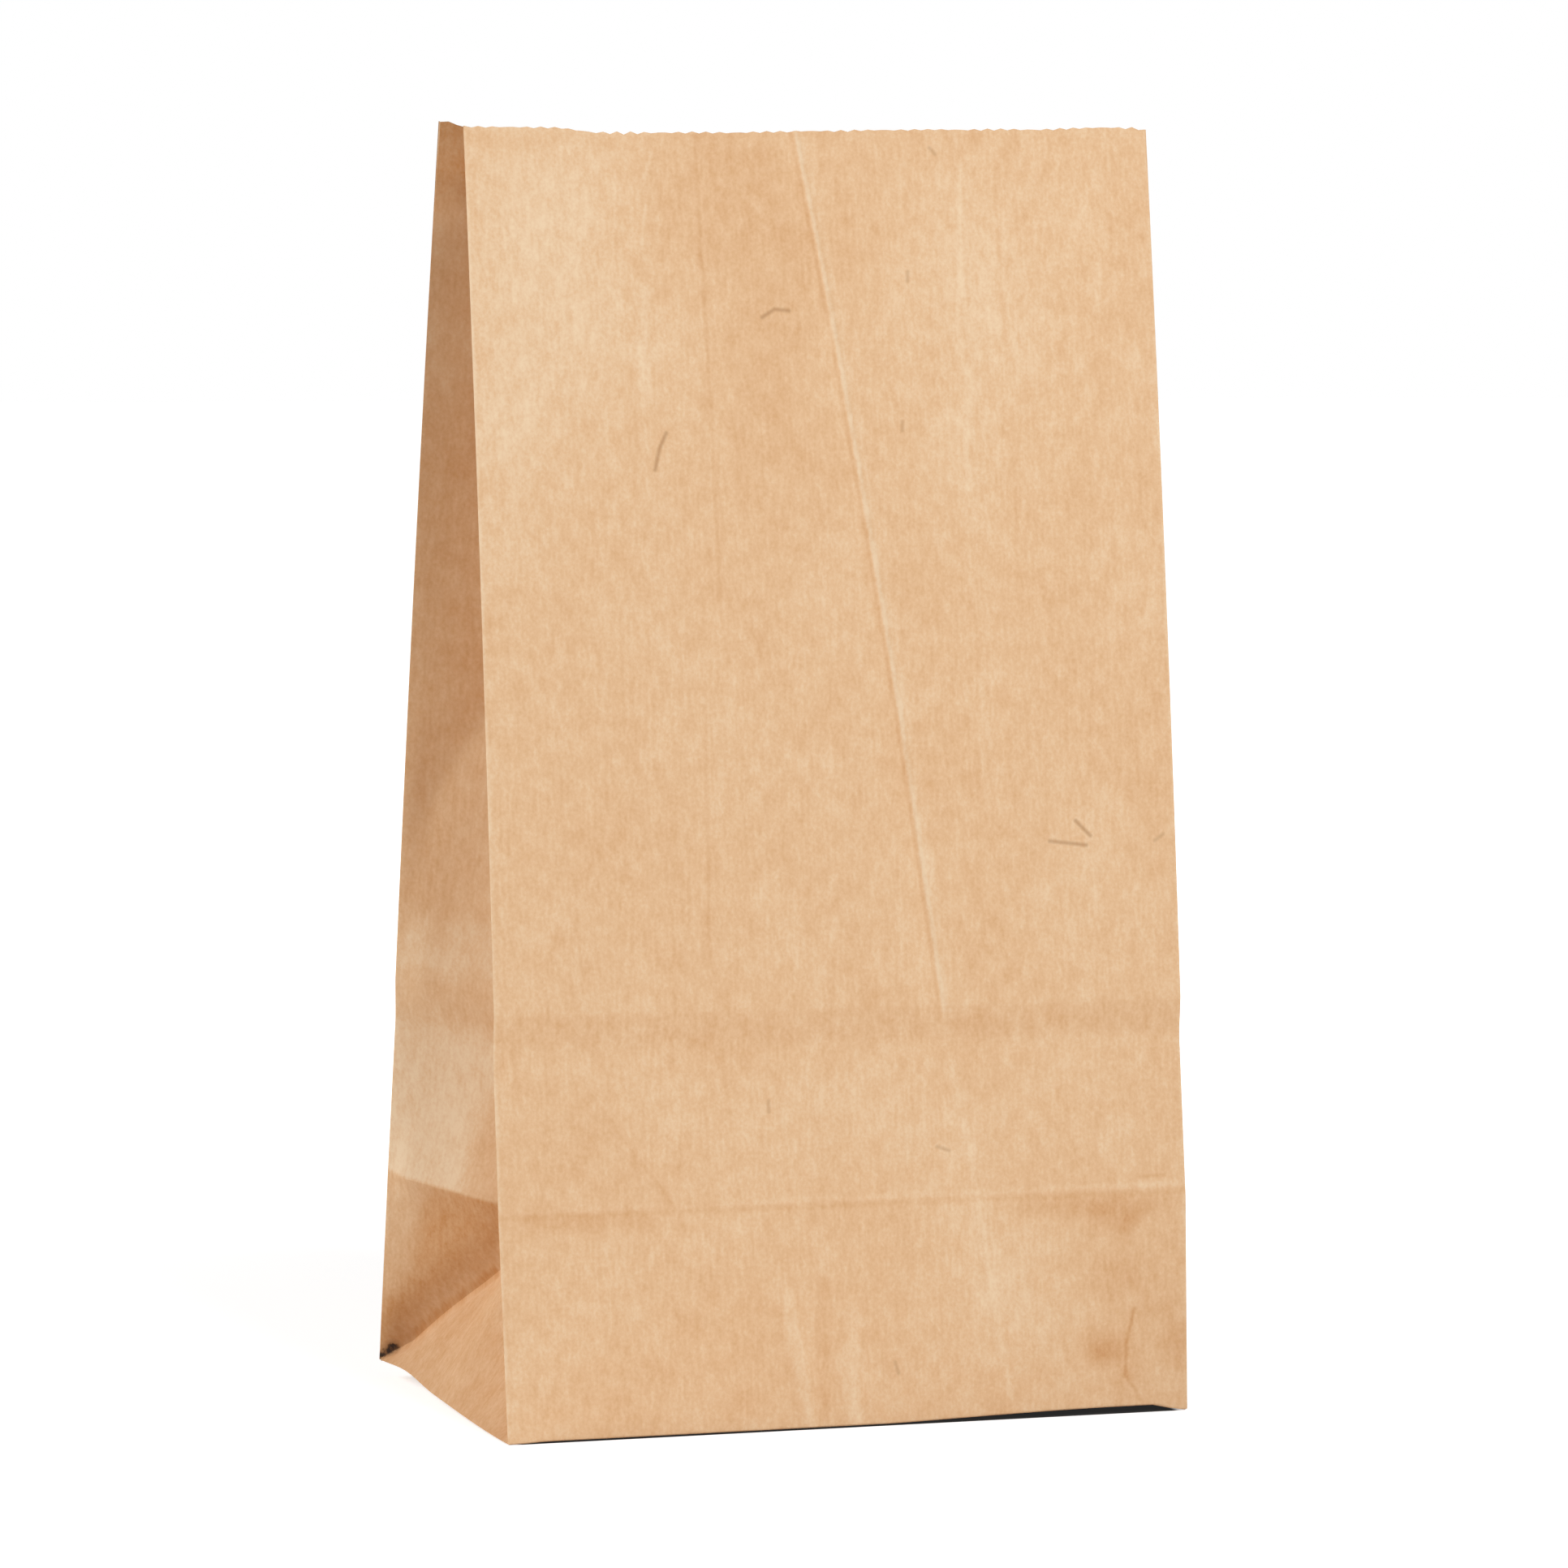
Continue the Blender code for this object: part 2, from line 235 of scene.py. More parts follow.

# Lines: name, points (across, up) in mm, half width in mm, tone. The cracks are marks of the paper itself.
# The lines at the slanting crease's lower end, the lower crease, the puckers, the front folds and the
# gusset's pocket are painted highlight and painted shade, and those along the upright and corner creases are
# partly worn crease and partly painted highlight and shade.
LINES_OF_TONE_AND_LIGHT = (
    # painted highlight along the lower end of the slanting crease
    ("slant, lower end, painted highlight", ((24.1, 77.2), (29.4, 45.0), (35.6, 4.0)), 1.3, -0.30),
    ("left wavy line", ((-35.8, 269.8), (-37.0, 264.0)), 0.8, -0.45),
    ("left wavy line, lower", ((-36.8, 258.0), (-38.6, 249.3)), 0.8, -0.40),
    ("left pale band", ((-38.8, 240.0), (-38.9, 206.0)), 2.0, -0.26),
    ("middle dark line", ((-25.9, 274.0), (-24.8, 215.0)), 0.8, 0.42),
    ("middle dark line, lower", ((-24.8, 215.0), (-24.0, 170.0)), 0.8, 0.28),
    ("middle dark line, lower end", ((-28.4, 151.9), (-29.0, 99.2)), 0.8, 0.26),
    ("right pale line, top", ((33.2, 266.8), (31.9, 237.3)), 1.1, -0.34),
    ("right pale line, middle", ((33.1, 223.4), (31.9, 197.4)), 1.4, -0.28),
    ("right pale line, low", ((33.3, 162.9), (33.1, 131.9)), 1.2, -0.22),
    ("right dark line", ((40.8, 262.0), (41.6, 228.0)), 0.9, 0.26),
    ("right dark line, lower", ((42.2, 212.0), (42.6, 186.0)), 0.9, 0.22),
    ("corner crease, dark", ((-55.6, 71.6), (-37.8, 47.0)), 0.9, 0.22),
    # painted light and painted shade on the two sides of the base puckers
    ("pucker, painted light", ((-14.6, 30.8), (-9.2, 1.6)), 2.6, -0.40),
    ("pucker, painted shade", ((-6.0, 30.0), (-6.4, 2.2)), 2.6, 0.42),
    ("right pucker, painted light", ((0.9, 24.5), (0.5, 1.2)), 2.4, -0.36),
    # painted shade in the lower crease, and painted highlight just above it
    ("lower crease, painted shade", ((-76.2, 46.2), (76.2, 46.9)), 1.2, 0.36),
    ("lower crease, painted highlight", ((46.0, 48.5), (76.2, 48.6)), 1.1, -0.32),
    ("lower crease, painted highlight left", ((-20.0, 47.9), (44.0, 48.4)), 1.0, -0.16),
    ("crack", ((64.2, 22.0), (62.2, 14.0), (61.8, 6.8)), 0.8, 0.70),
    ("crack, lower", ((62.4, 6.4), (65.4, 1.2)), 0.8, 0.50),
    ("crack by the fold", ((65.6, 50.3), (71.2, 50.4)), 0.8, 0.50),
    # painted highlight where the rounded front folds catch the light
    ("painted highlight on the left front fold", ((-76.0, 2.0), (-76.0, 274.0)), 0.9, -0.45),
    ("painted highlight on the right front fold", ((76.0, 2.0), (76.0, 274.0)), 0.9, -0.25),
    # painted shade along the slanting fold of the left gusset's pocket
    ("painted shade in the pocket fold", ((-160.5, 7.4), (-138.0, 30.0)), 1.0, 0.80),
)

# The deeper band under the ridge of the front is painted shade, where the band faces down: a window of
# heights, and its tone by the mottle
MOTTLE_RANGE = (0.2, 0.8)
BAND_WINDOW = (80.5, 87.8, 2.2, 0.5)
BAND_PAINTED_SHADE = (*MOTTLE_RANGE, 0.10, 0.24)
FOLD_SOFT = (0.4, 0.4)

# Painted light and shade of a gusset, in its pleat, pocket and bulge: from and to in mm, and then the tone at
# each of them (a mask where none is given).
# By the height above the pleat's line
PLEAT_SHADE = (-10.0, 8.0, 0.0, 0.50)
# By the height above the slanting fold of the pocket
POCKET_SHADE = (0.0, 10.0, 0.75, 1.35)
POCKET_SHADE_FADE = (20.0, 36.0, 0.0, -0.80)
POCKET_SHADE_LEAST = 0.2
POCKET_SHADE_START = (-0.6, 0.6)
CORNER_LIGHT_START = (8.0, 20.0)
FOOT_SHADE = (-0.6, 0.6, 0.62, 0.0)
# By the distance from the back fold
EDGE_SHADE = (6.0, 22.0, 0.55, 0.0)
CORNER_LIGHT = (4.0, 15.0, -0.95, 0.0)
BULGE_FRONT_SHADE = (20.0, 28.0, 0.0, 0.85)
# By the height
OPENING_TONE = (205.0, 228.0, 0.0, -0.42)
EDGE_SHADE_START = (90.0, 108.0)
POCKET_SHADE_TOP = (45.6, 46.6, 1.0, 0.0)
BULGE_LIGHT = (50.0, 74.0, -0.74, -0.48)
BULGE_FRONT_SHADE_TOP = (58.0, 72.0, 1.0, 0.0)
BULGE_WINDOW = (46.4, 80.0, 0.6, 4.0)
# Bands of height, a band of painted shade and above it one of painted light: the window and the tone
GUSSET_SHADE_AND_LIGHT_BANDS = (((80.5, 90.0, 1.0, 1.5), 0.16), ((92.5, 104.0, 1.5, 4.0), -0.30))
# The painted shade at the top of the back left: its end across and its start up, its tone on the gusset, and
# the black mixed into it, which sets in at the front fold
LEFT_RIM_SHADE_END = (-BACK_FOLD / MM + 20.0, -BACK_FOLD / MM + 30.0, 1.0, 0.0)
LEFT_RIM_SHADE_START = (253.5, 263.5)
LEFT_RIM_SHADE = 1.26
LEFT_RIM_SHADE_BLACK = (-FRONT_FOLD / MM - 0.4, -FRONT_FOLD / MM, 0.25, 0.0)

# Patterns in the paper, each with its scale per mm, and the strengths of the tones that they give
CLOUDS = {"scale": 0.045, "size": (1.0, 0.7, 1.0)}
MOTTLE = {"scale": 0.30, "rough": 0.55, "offset": (40, 7, 0), "size": (1.0, 0.85, 1.0),
          "turn": (0.5, 0.4, 0.6)}
GRAIN = {"scale": 1.35, "rough": 0.6, "offset": (11, 3, 0), "size": (1.0, 0.85, 1.0),
         "turn": (0.6, 0.5, 0.7)}
STREAKS = {"scale": 1.0, "detail": 1.0, "offset": (3, 19, 0), "size": (1.0, 0.17, 1.0),
           "turn": (0.5, 0.6, 0.0)}
CLOUD_TONE, MOTTLE_TONE, GRAIN_TONE, STREAK_TONE = 0.8, 1.15, 1.35, 0.85
# How far the drawn lines wander to the side, in mm
WOBBLE = {"scale": 0.14, "detail": 3.0, "offset": (5, 90, 0)}
WOBBLE_REACH = 1.8
# Shares of the deep and the pale colour by the tone. The deep one may go beyond the colour itself
DEEP_SHARE = (0.0, 1.8, 0.0, 2.0)
PALE_SHARE = (-0.9, 0.0, 1.0, 0.0)
ROUGHNESS_CHANGE = 0.05
PAPER_SPECULAR = 0.25
BUMP_DISTANCE = 0.00005
BUMP_STRENGTH = 0.5
BUMP_GRAIN, BUMP_STREAKS = 0.7, 0.5
# Black of the painted shade at the top of the left gusset
SHADE_BLACK = (0.0, 0.0, 0.0, 1.0)
WHITE = (1.0, 1.0, 1.0, 1.0)

# Marks in the paper: flecks, and the painted shade in the nook at the back left corner, with its width, its
# grain and its black heart
FLECKS = (
    ((-12.6, 233.5), (-9.8, 235.2)),
    ((-9.8, 235.2), (-6.6, 234.9)),
    ((-37.4, 201.4), (-36.3, 205.8)),
    ((-36.3, 205.8), (-34.7, 209.1)),
    ((47.4, 122.1), (55.6, 121.1)),
    ((53.4, 126.3), (56.6, 123.1)),
)
FAINT_FLECKS = (
    ((20.3, 243.3), (20.2, 241.3)),
    ((17.7, 211.4), (17.6, 209.5)),
    ((-16.7, 68.8), (-16.7, 66.6)),
    ((71.3, 121.8), (73.2, 123.1)),
    ((20.3, 58.1), (22.9, 57.2)),
    ((9.7, 13.0), (10.4, 10.6)),
    ((26.4, 270.6), (27.6, 269.2)),
)
FLECK_WIDTH = 0.75
FLECK_SHARE, FAINT_FLECK_SHARE = 0.50, 0.30
NOOK_SHADE_LINE = ((-167.2, 0.9), (-164.4, 3.6), 2.0)
NOOK_SHADE_GRAIN = (0.3, 0.7, 0.9, 1.4)
NOOK_SHADE_HEART = (0.6, 1.3)
NOOK_SHADE_COLOUR = (0.05, 0.03, 0.02, 1.0)

# The studio, in metres. The floor's white grows with the distance from the bag (from, to, strengths), and two
# windows wholly under the bag (across, deep) are painted dark as a painted shadow, as the gap under its front
# edge is
FLOOR_SIZE = 12.0
FLOOR_WHITE = (0.15, 0.9, 0.55, 1.0)
FLOOR_FRONT = -HALF_DEPTH + 0.0004
SHADOW_UNDER_BAG = (
    ((-0.060, HALF_WIDTH - 0.002, 0.004, 0.001), (FLOOR_FRONT, HALF_DEPTH - 0.002, 0.0002, 0.001)),
    ((-0.0735, 0.0, 0.001, 0.001), (FLOOR_FRONT, -HALF_DEPTH + 0.006, 0.0002, 0.001)),
)
SHADOW_UNDER_BAG_DIM = 0.965
FLOOR_COLOUR = (0.9, 0.9, 0.9, 1.0)
SHADOW_UNDER_BAG_COLOUR = (0.05, 0.05, 0.05, 1.0)
LAMP_SIZE = 1.0
KEY_PLACE = (0.43, -1.62, 1.55)
SIDE_PLACE = (-1.63, 0.59, 1.13)
CAMERA_PLACE = (-0.54658, -1.49946, 0.2672)
# Turned to the right, tipped down and rolled, in degrees
CAMERA_TURN = (20.02, 4.85, 0.56)


class PaperBagSheet(bpy.types.PropertyGroup):
    """Sizes of the folded sheet that a user would change"""

    tooth_pitch: bpy.props.FloatProperty(
        name="Tooth pitch", description="Distance between two teeth of the cut rim",
        default=0.0033, min=0.001, unit="LENGTH")
    tooth_depth: bpy.props.FloatProperty(
        name="Tooth depth", description="Depth of the teeth of the cut rim",
        default=0.0006, min=0.0, unit="LENGTH")
    waviness: bpy.props.FloatProperty(
        name="Waviness", description="Height of the soft waves in the panels",
        default=0.00035, min=0.0, unit="LENGTH")
    panel_bow: bpy.props.FloatProperty(
        name="Panel bow", description="How far the front and back panels stand out at their middle",
        default=0.0006, min=0.0, unit="LENGTH")
    front_lift: bpy.props.FloatProperty(
        name="Front edge lift", description="Gap under the right part of the front edge",
        default=0.0014, min=0.0, unit="LENGTH")
    corner_lift: bpy.props.FloatProperty(
        name="Back corner lift", description="How far the back left corner of the base stands off the ground",
        default=0.0035, min=0.0, unit="LENGTH")


class PaperBagFinish(bpy.types.PropertyGroup):
    """Colours and surface of the kraft paper"""

    paper: bpy.props.FloatVectorProperty(
        name="Paper", description="Colour of the kraft paper", subtype="COLOR", size=4,
        default=(0.79, 0.513, 0.295, 1.0), min=0.0, max=1.0)
    # The deep tone also gives the painted shade.
    deep: bpy.props.FloatVectorProperty(
        name="Deep tone", description="Colour of the deeper patches", subtype="COLOR", size=4,
        default=(0.70, 0.40, 0.20, 1.0), min=0.0, max=1.0)
    # The pale tone also gives the painted highlights and painted light.
    pale: bpy.props.FloatVectorProperty(
        name="Pale tone", description="Colour of worn creases and pale fibres", subtype="COLOR", size=4,
        default=(0.87, 0.65, 0.43, 1.0), min=0.0, max=1.0)
    # The fleck colour also gives the painted shade in the back left nook.
    fleck: bpy.props.FloatVectorProperty(
        name="Fleck", description="Colour of the bark flecks", subtype="COLOR", size=4,
        default=(0.38, 0.18, 0.07, 1.0), min=0.0, max=1.0)
    roughness: bpy.props.FloatProperty(
        name="Roughness", description="Roughness of the uncoated paper", subtype="FACTOR",
        default=0.82, min=0.0, max=1.0)


class PaperBagStudio(bpy.types.PropertyGroup):
    """Light and camera of the plain studio"""

    key_power: bpy.props.FloatProperty(
        name="Key light", description="Power of the large soft lamp", default=34.0, min=0.0, unit="POWER")
    side_power: bpy.props.FloatProperty(
        name="Side light", description="Power of the soft lamp on the left", default=25.5, min=0.0,
        unit="POWER")
    fill: bpy.props.FloatProperty(
        name="Fill", description="Strength of the even light from all round", default=0.12, min=0.0)
    lens: bpy.props.FloatProperty(
        name="Lens", description="Focal length of the camera in mm", default=171.8, min=1.0)


def smooth_step(value, centre, width):
    """0 below the centre and 1 above it, turning over the width."""
    share = min(max((value - centre) / width + 0.5, 0.0), 1.0)
    return share * share * (3 - 2 * share)


def smooth_fall(value, centre, width):
    """1 below the centre and 0 above it, turning over the width."""
    return 1 - smooth_step(value, centre, width)


def panel_turn(height):
    """How a panel turns from its mean lean at a height of the sheet."""
    turn = LOWER_TURN
    turn += (BAND_TURN - LOWER_TURN) * smooth_step(height, LOWER_CREASE, LOWER_CREASE_ROUNDING)
    turn += (RIDGE_TURN - BAND_TURN) * smooth_step(height, RIDGE_FOOT, FOOT_ROUNDING)
    turn += (UPPER_TURN - RIDGE_TURN) * smooth_step(height, RIDGE, RIDGE_ROUNDING)
    upper = min(max((height - RIDGE) / (HEIGHT - RIDGE), 0.0), 1.0)
    return turn + (RIM_TURN - UPPER_TURN) * upper


def panel_profile():
    """Inset and rise of a panel at every step of its height."""
    steps = round(HEIGHT / PROFILE_STEP)
    turns = [panel_turn((i + 0.5) * PROFILE_STEP) for i in range(steps)]
    along = sum(PROFILE_STEP * math.cos(turn) for turn in turns)
    across = sum(PROFILE_STEP * math.sin(turn) for turn in turns)
    inset_wanted = (DEPTH - MOUTH_GAP) / 2
    lean = math.asin(inset_wanted / math.hypot(along, across)) - math.atan2(across, along)
    profile = [(0.0, 0.0)]
    for turn in turns:
        inset, rise = profile[-1]
        profile.append((inset + PROFILE_STEP * math.sin(lean + turn),
                        rise + PROFILE_STEP * math.cos(lean + turn)))
    return profile


PROFILE = panel_profile()


def inset_and_rise(height):
    """Inset and rise of a panel at any height of the sheet."""
    place = min(max(height / PROFILE_STEP, 0.0), len(PROFILE) - 1.001)
    low = int(place)
    share = place - low
    inset = PROFILE[low][0] + share * (PROFILE[low + 1][0] - PROFILE[low][0])
    rise = PROFILE[low][1] + share * (PROFILE[low + 1][1] - PROFILE[low][1])
    return inset, rise


def fold_panel(x, end, height):
    """A point of the front panel (end -1) or the back panel (end 1)."""
    inset, rise = inset_and_rise(height)
    left = 0.5 - x / WIDTH
    if end < 0:
        inset -= FRONT_SKEW * min(height / LOWER_CREASE, 1.0) * x / HALF_WIDTH
        inset += FRONT_LEFT_DRIFT * left * height / HEIGHT
    else:
        inset += BACK_LEFT_DRIFT * left * height / HEIGHT
    return Vector((x, end * (HALF_DEPTH - inset), rise))


def gusset_valley(side, height):
    """A point of the gusset's middle crease, as far from both of its folds as on the flat sheet."""
    front = fold_panel(side * HALF_WIDTH, -1, height)
    back = fold_panel(side * HALF_WIDTH, 1, height)
    across = (back.y - front.y) / 2
    down = across * (HALF_DEPTH - across) / front.z
    depth_in = math.sqrt(HALF_DEPTH**2 - across**2 - down**2)
    return Vector((side * (HALF_WIDTH - depth_in), (front.y + back.y) / 2, front.z - down))


def fold_gusset(x, y, height):
    """A point of a gusset. Below the lower crease it holds three flat triangles."""
    side = math.copysign(1.0, x)
    end = math.copysign(1.0, y)
    from_fold = 1 - abs(y) / HALF_DEPTH
    up = height / LOWER_CREASE
    if up >= 1:
        fold = fold_panel(side * HALF_WIDTH, end, height)
        return fold.lerp(gusset_valley(side, height), from_fold)
    peak = gusset_valley(side, LOWER_CREASE)
    corner = Vector((side * HALF_WIDTH, end * HALF_DEPTH, 0.0))
    if up < from_fold:
        foot = Vector((side * HALF_WIDTH, 0.0, 0.0))
        return corner + from_fold * (foot - corner) + up * (peak - foot)
    fold = fold_panel(side * HALF_WIDTH, end, LOWER_CREASE)
    return corner + from_fold * (peak - corner) + (up - from_fold) * (fold - corner)


def fold_point(flat):
    """Where a point of the upright open box lies once the bag is folded."""
    x, y, height = flat
    if height < NEAR:
        return Vector((x, y, 0.0))
    if abs(y) > HALF_DEPTH - NEAR:
        return fold_panel(x, math.copysign(1.0, y), height)
    return fold_gusset(x, y, height)


def sheet_place(flat, normal):
    """The place of a box point on the flat sheet: across from the middle of the front, and up."""
    x, y, height = flat
    if normal.z < -0.5:
        return Vector((x, -(y + HALF_DEPTH)))
    if abs(normal.x) > 0.5:
        return Vector((math.copysign(FRONT_FOLD + y + HALF_DEPTH, x), height))
    if normal.y < 0:
        return Vector((x, height))
    if normal.y > 0 and x > SEAM_LAP / 2 - NEAR:
        return Vector((BACK_MIDDLE - x, height))
    return Vector((-BACK_MIDDLE - x, height))


def select_only(bag, wanted):
    """Selects the faces for which the test holds, and nothing else."""
    bpy.ops.mesh.select_all(action="DESELECT")
    mesh = bmesh.from_edit_mesh(bag.data)
    mesh.normal_update()
    for face in mesh.faces:
        if wanted(face):
            face.select_set(True)
    bmesh.update_edit_mesh(bag.data)


def cut(bag, point, normal, wanted=None):
    """Cuts one straight line across the faces for which the test holds."""
    if wanted is None:
        bpy.ops.mesh.select_all(action="SELECT")
    else:
        select_only(bag, wanted)
    bpy.ops.mesh.bisect(plane_co=point, plane_no=normal, threshold=NEAR)


def divide(bag, wanted, cuts):
    """Splits each edge for which the test holds, and the faces between them, evenly."""
    bpy.ops.mesh.select_all(action="DESELECT")
    mesh = bmesh.from_edit_mesh(bag.data)
    for edge in mesh.edges:
        if wanted(edge.verts[0].co, edge.verts[1].co):
            edge.select_set(True)
    bmesh.update_edit_mesh(bag.data)
    bpy.ops.mesh.subdivide(number_cuts=cuts, smoothness=0.0, ngon=True, quadcorner="STRAIGHT_CUT")


def row_heights():
    """Heights of the rows, closer together at the creases."""
    heights = [height * MM for height in FIRST_ROWS]
    for low, high, rows in ROW_STRETCHES:
        for i in range(rows):
            heights.append((low + (high - low) * (i + 1) / rows) * MM)
    return heights


def upright(face):
    return abs(face.normal.z) < 0.5


def on_front(face):
    return face.normal.y < -0.5


def on_base(face):
    return face.normal.z < -0.5


def draw_sheet(bag):
    """Draws the rows, columns and crease lines of the sheet on the upright open box."""
    bpy.ops.mesh.select_mode(type="FACE")
    select_only(bag, lambda face: face.normal.z > 0.5)
    bpy.ops.mesh.delete(type="FACE")
    bpy.ops.mesh.select_mode(type="EDGE")
    for near_fold in FOLD_COLUMNS:
        for side in (-1, 1):
            cut(bag, (side * (HALF_WIDTH - near_fold), 0, 0), (1, 0, 0))
            cut(bag, (0, side * (HALF_DEPTH - near_fold), 0), (0, 1, 0))
    cut(bag, (0, 0, 0), (0, 1, 0))
    for height in row_heights():
        cut(bag, (0, 0, height), (0, 0, 1), upright)
    long_across = WIDTH - 2 * FOLD_COLUMNS[-1] - MM
    long_deep = HALF_DEPTH - FOLD_COLUMNS[-1] - MM
    for end, columns in ((-1, FRONT_COLUMNS), (1, BACK_COLUMNS)):
        divide(bag, lambda a, b: abs(a.x - b.x) > long_across
               and min(a.y * end, b.y * end) > HALF_DEPTH - NEAR, columns - 1)
    for side, columns in ((-1, LEFT_GUSSET_COLUMNS), (1, RIGHT_GUSSET_COLUMNS)):
        divide(bag, lambda a, b: abs(a.y - b.y) > long_deep
               and min(a.x * side, b.x * side) > HALF_WIDTH - NEAR, columns - 1)


def draw_lines(bag):
    """Draws the slanting creases, the seam's edge and the outlines of the flaps."""
    for side in (-1, 1):
        for end in (-1, 1):
            corner = (side * HALF_WIDTH, end * HALF_DEPTH, 0)
            cut(bag, corner, (0, end, 1), lambda face: face.normal.x * side > 0.5
                and face.calc_center_median().z < LOWER_CREASE and face.calc_center_median().y * end > 0)
    for end in (-1, 1):
        cut(bag, (0, end * FLAP_LAP / 2, 0), (0, 1, 0), on_base)
        for side in (-1, 1):
            corner = (side * HALF_WIDTH, end * HALF_DEPTH, 0)
            cut(bag, corner, (side, -end, 0), on_base)
    for x in (SEAM_LAP / 2, SEAM_LAP / 2 + SEAM_EDGE):
        cut(bag, (x, 0, 0), (1, 0, 0), lambda face: face.normal.y > 0.5)
    crease = SHEET_CREASES[0][1]
    for low, high in ((crease[-1], crease[SLANT_BEND]), (crease[SLANT_BEND], crease[0])):
        foot = Vector((low[0] * MM, -HALF_DEPTH, low[1] * MM))
        head = Vector((high[0] * MM, -HALF_DEPTH, high[1] * MM))
        across = (head - foot).cross(Vector((0, 1, 0)))
        for shift in SLANT_CUTS:
            cut(bag, foot + Vector((shift, 0, 0)), across, lambda face: on_front(face)
                and foot.z - NEAR < face.calc_center_median().z < head.z + NEAR)


def draw_base_grid(bag):
    """Draws a grid on the base, on columns of the walls, so that the base can lift off the ground."""
    inner_width = WIDTH - 2 * FOLD_COLUMNS[-1]
    inner_depth = HALF_DEPTH - FOLD_COLUMNS[-1]
    for column in range(BASE_SKIP_ACROSS, FRONT_COLUMNS, BASE_SKIP_ACROSS):
        cut(bag, (inner_width * (column / FRONT_COLUMNS - 0.5), 0, 0), (1, 0, 0), on_base)
    for column in range(BASE_SKIP_DEEP, LEFT_GUSSET_COLUMNS, BASE_SKIP_DEEP):
        for end in (-1, 1):
            cut(bag, (0, end * inner_depth * column / LEFT_GUSSET_COLUMNS, 0), (0, 1, 0), on_base)


def map_sheet(mesh):
    """Gives each corner its place on the flat sheet, in metres."""
    layer = mesh.loops.layers.uv.verify()
    for face in mesh.faces:
        for loop in face.loops:
            loop[layer].uv = sheet_place(loop.vert.co, face.normal)


def signed_distance(place, points):
    """Distance in mm from a place to a line of points, below zero on its left going up."""
    best = None
    for a, b in zip(points, points[1:]):
        run = (b[0] - a[0], b[1] - a[1])
        to = (place[0] - a[0], place[1] - a[1])
        along = (to[0] * run[0] + to[1] * run[1]) / (run[0] ** 2 + run[1] ** 2)
        along = min(max(along, 0.0), 1.0)
        off = (to[0] - along * run[0], to[1] - along * run[1])
        distance = math.hypot(*off)
        if best is None or distance < abs(best):
            best = math.copysign(distance, off[0])
    return best


def cusp(distance, low_reach, high_reach):
    """1 on a line, falling to 0 at the reach on either side of it."""
    share = max(0.0, 1 - abs(distance) / (low_reach if distance < 0 else high_reach))
    return share * share


def crease_relief(across, up):
    """Height in mm that the pressed creases give a place of the sheet, in mm."""
    total = 0.0
    for _, points, height, left, right in SHEET_CREASES:
        xs = [point[0] for point in points]
        low, high = points[-1][1], points[0][1]
        reach = max(left, right)
        if not (min(xs) - reach < across < max(xs) + reach and low - reach < up < high + reach):
            continue
        inward, width = CREASE_END
        ends = smooth_step(up, low + inward, width)
        if high <= CREASE_RIM:
            ends *= smooth_fall(up, high - inward, width)
        if low < CREASE_BASE:
            inward, width = CREASE_HEAD
            ends = smooth_fall(up, high - inward, width)
        total += height * cusp(signed_distance((across, up), points), left, right) * ends
    return total


def wave(across, up, seed, size):
    """A soft wave from -1 to 1. It runs mostly up the sheet, as the grain of the paper does."""
    return noise.noise(Vector((across / size, up / (size * WAVE_STRETCH), seed)))


def gusset_relief(across, up):
    """Height in mm that a place of a gusset stands out of its flat halves, both in mm."""
    from_back = BACK_FOLD / MM - abs(across)
    from_fold = min(abs(across) - FRONT_FOLD / MM, from_back)
    free = smooth_step(from_fold, *GUSSET_EDGE)
    pocket = POCKET_DEPTH * smooth_step(from_fold, *POCKET_EDGE) * smooth_fall(from_fold, *POCKET_END)
    if up < from_fold:
        relief = -pocket * up / from_fold
    else:
        relief = -pocket * cusp((up - from_fold) / math.sqrt(2), *POCKET_REACH)
    bulge = BACK_BULGE if from_back < HALF_DEPTH / MM else FRONT_BULGE
    relief += bulge * free * cusp(up - BULGE_UP, *BULGE_REACH) * smooth_fall(from_fold, *BULGE_END)
    relief += PUFF * free * smooth_step(up, *PUFF_START) * smooth_fall(up, *PUFF_END)
    above_pleat = (up - PLEAT_FOOT - PLEAT_SLOPE * from_back) / math.hypot(1, PLEAT_SLOPE)
    relief -= PLEAT_DEPTH * free * cusp(above_pleat, *PLEAT_REACH) * smooth_fall(from_back, *PLEAT_END)
    return relief if across < 0 else relief * RIGHT_GUSSET_SHARE


def panel_relief(place, settings):
    """Height in metres that a place of the sheet stands out of its panel."""
    across, up = place.x / MM, place.y / MM
    if up <= 0:
        return 0.0
    from_folds = min(abs(abs(across) - fold / MM) for fold in (FRONT_FOLD, BACK_FOLD, VALLEY))
    free = smooth_step(from_folds, *WAVE_EDGE) * smooth_step(up, *WAVE_FOOT)
    relief = settings.waviness * free * sum(
        share * wave(across, up, seed, size) for share, seed, size in WAVES)
    if abs(across) < FRONT_FOLD / MM:
        bow = math.cos(across * MM / FRONT_FOLD * math.pi / 2) * smooth_step(up, *BOW_FOOT)
        relief += settings.panel_bow * bow + crease_relief(across, up) * MM
    elif abs(across) < BACK_FOLD / MM:
        relief += gusset_relief(across, up) * MM
    return relief


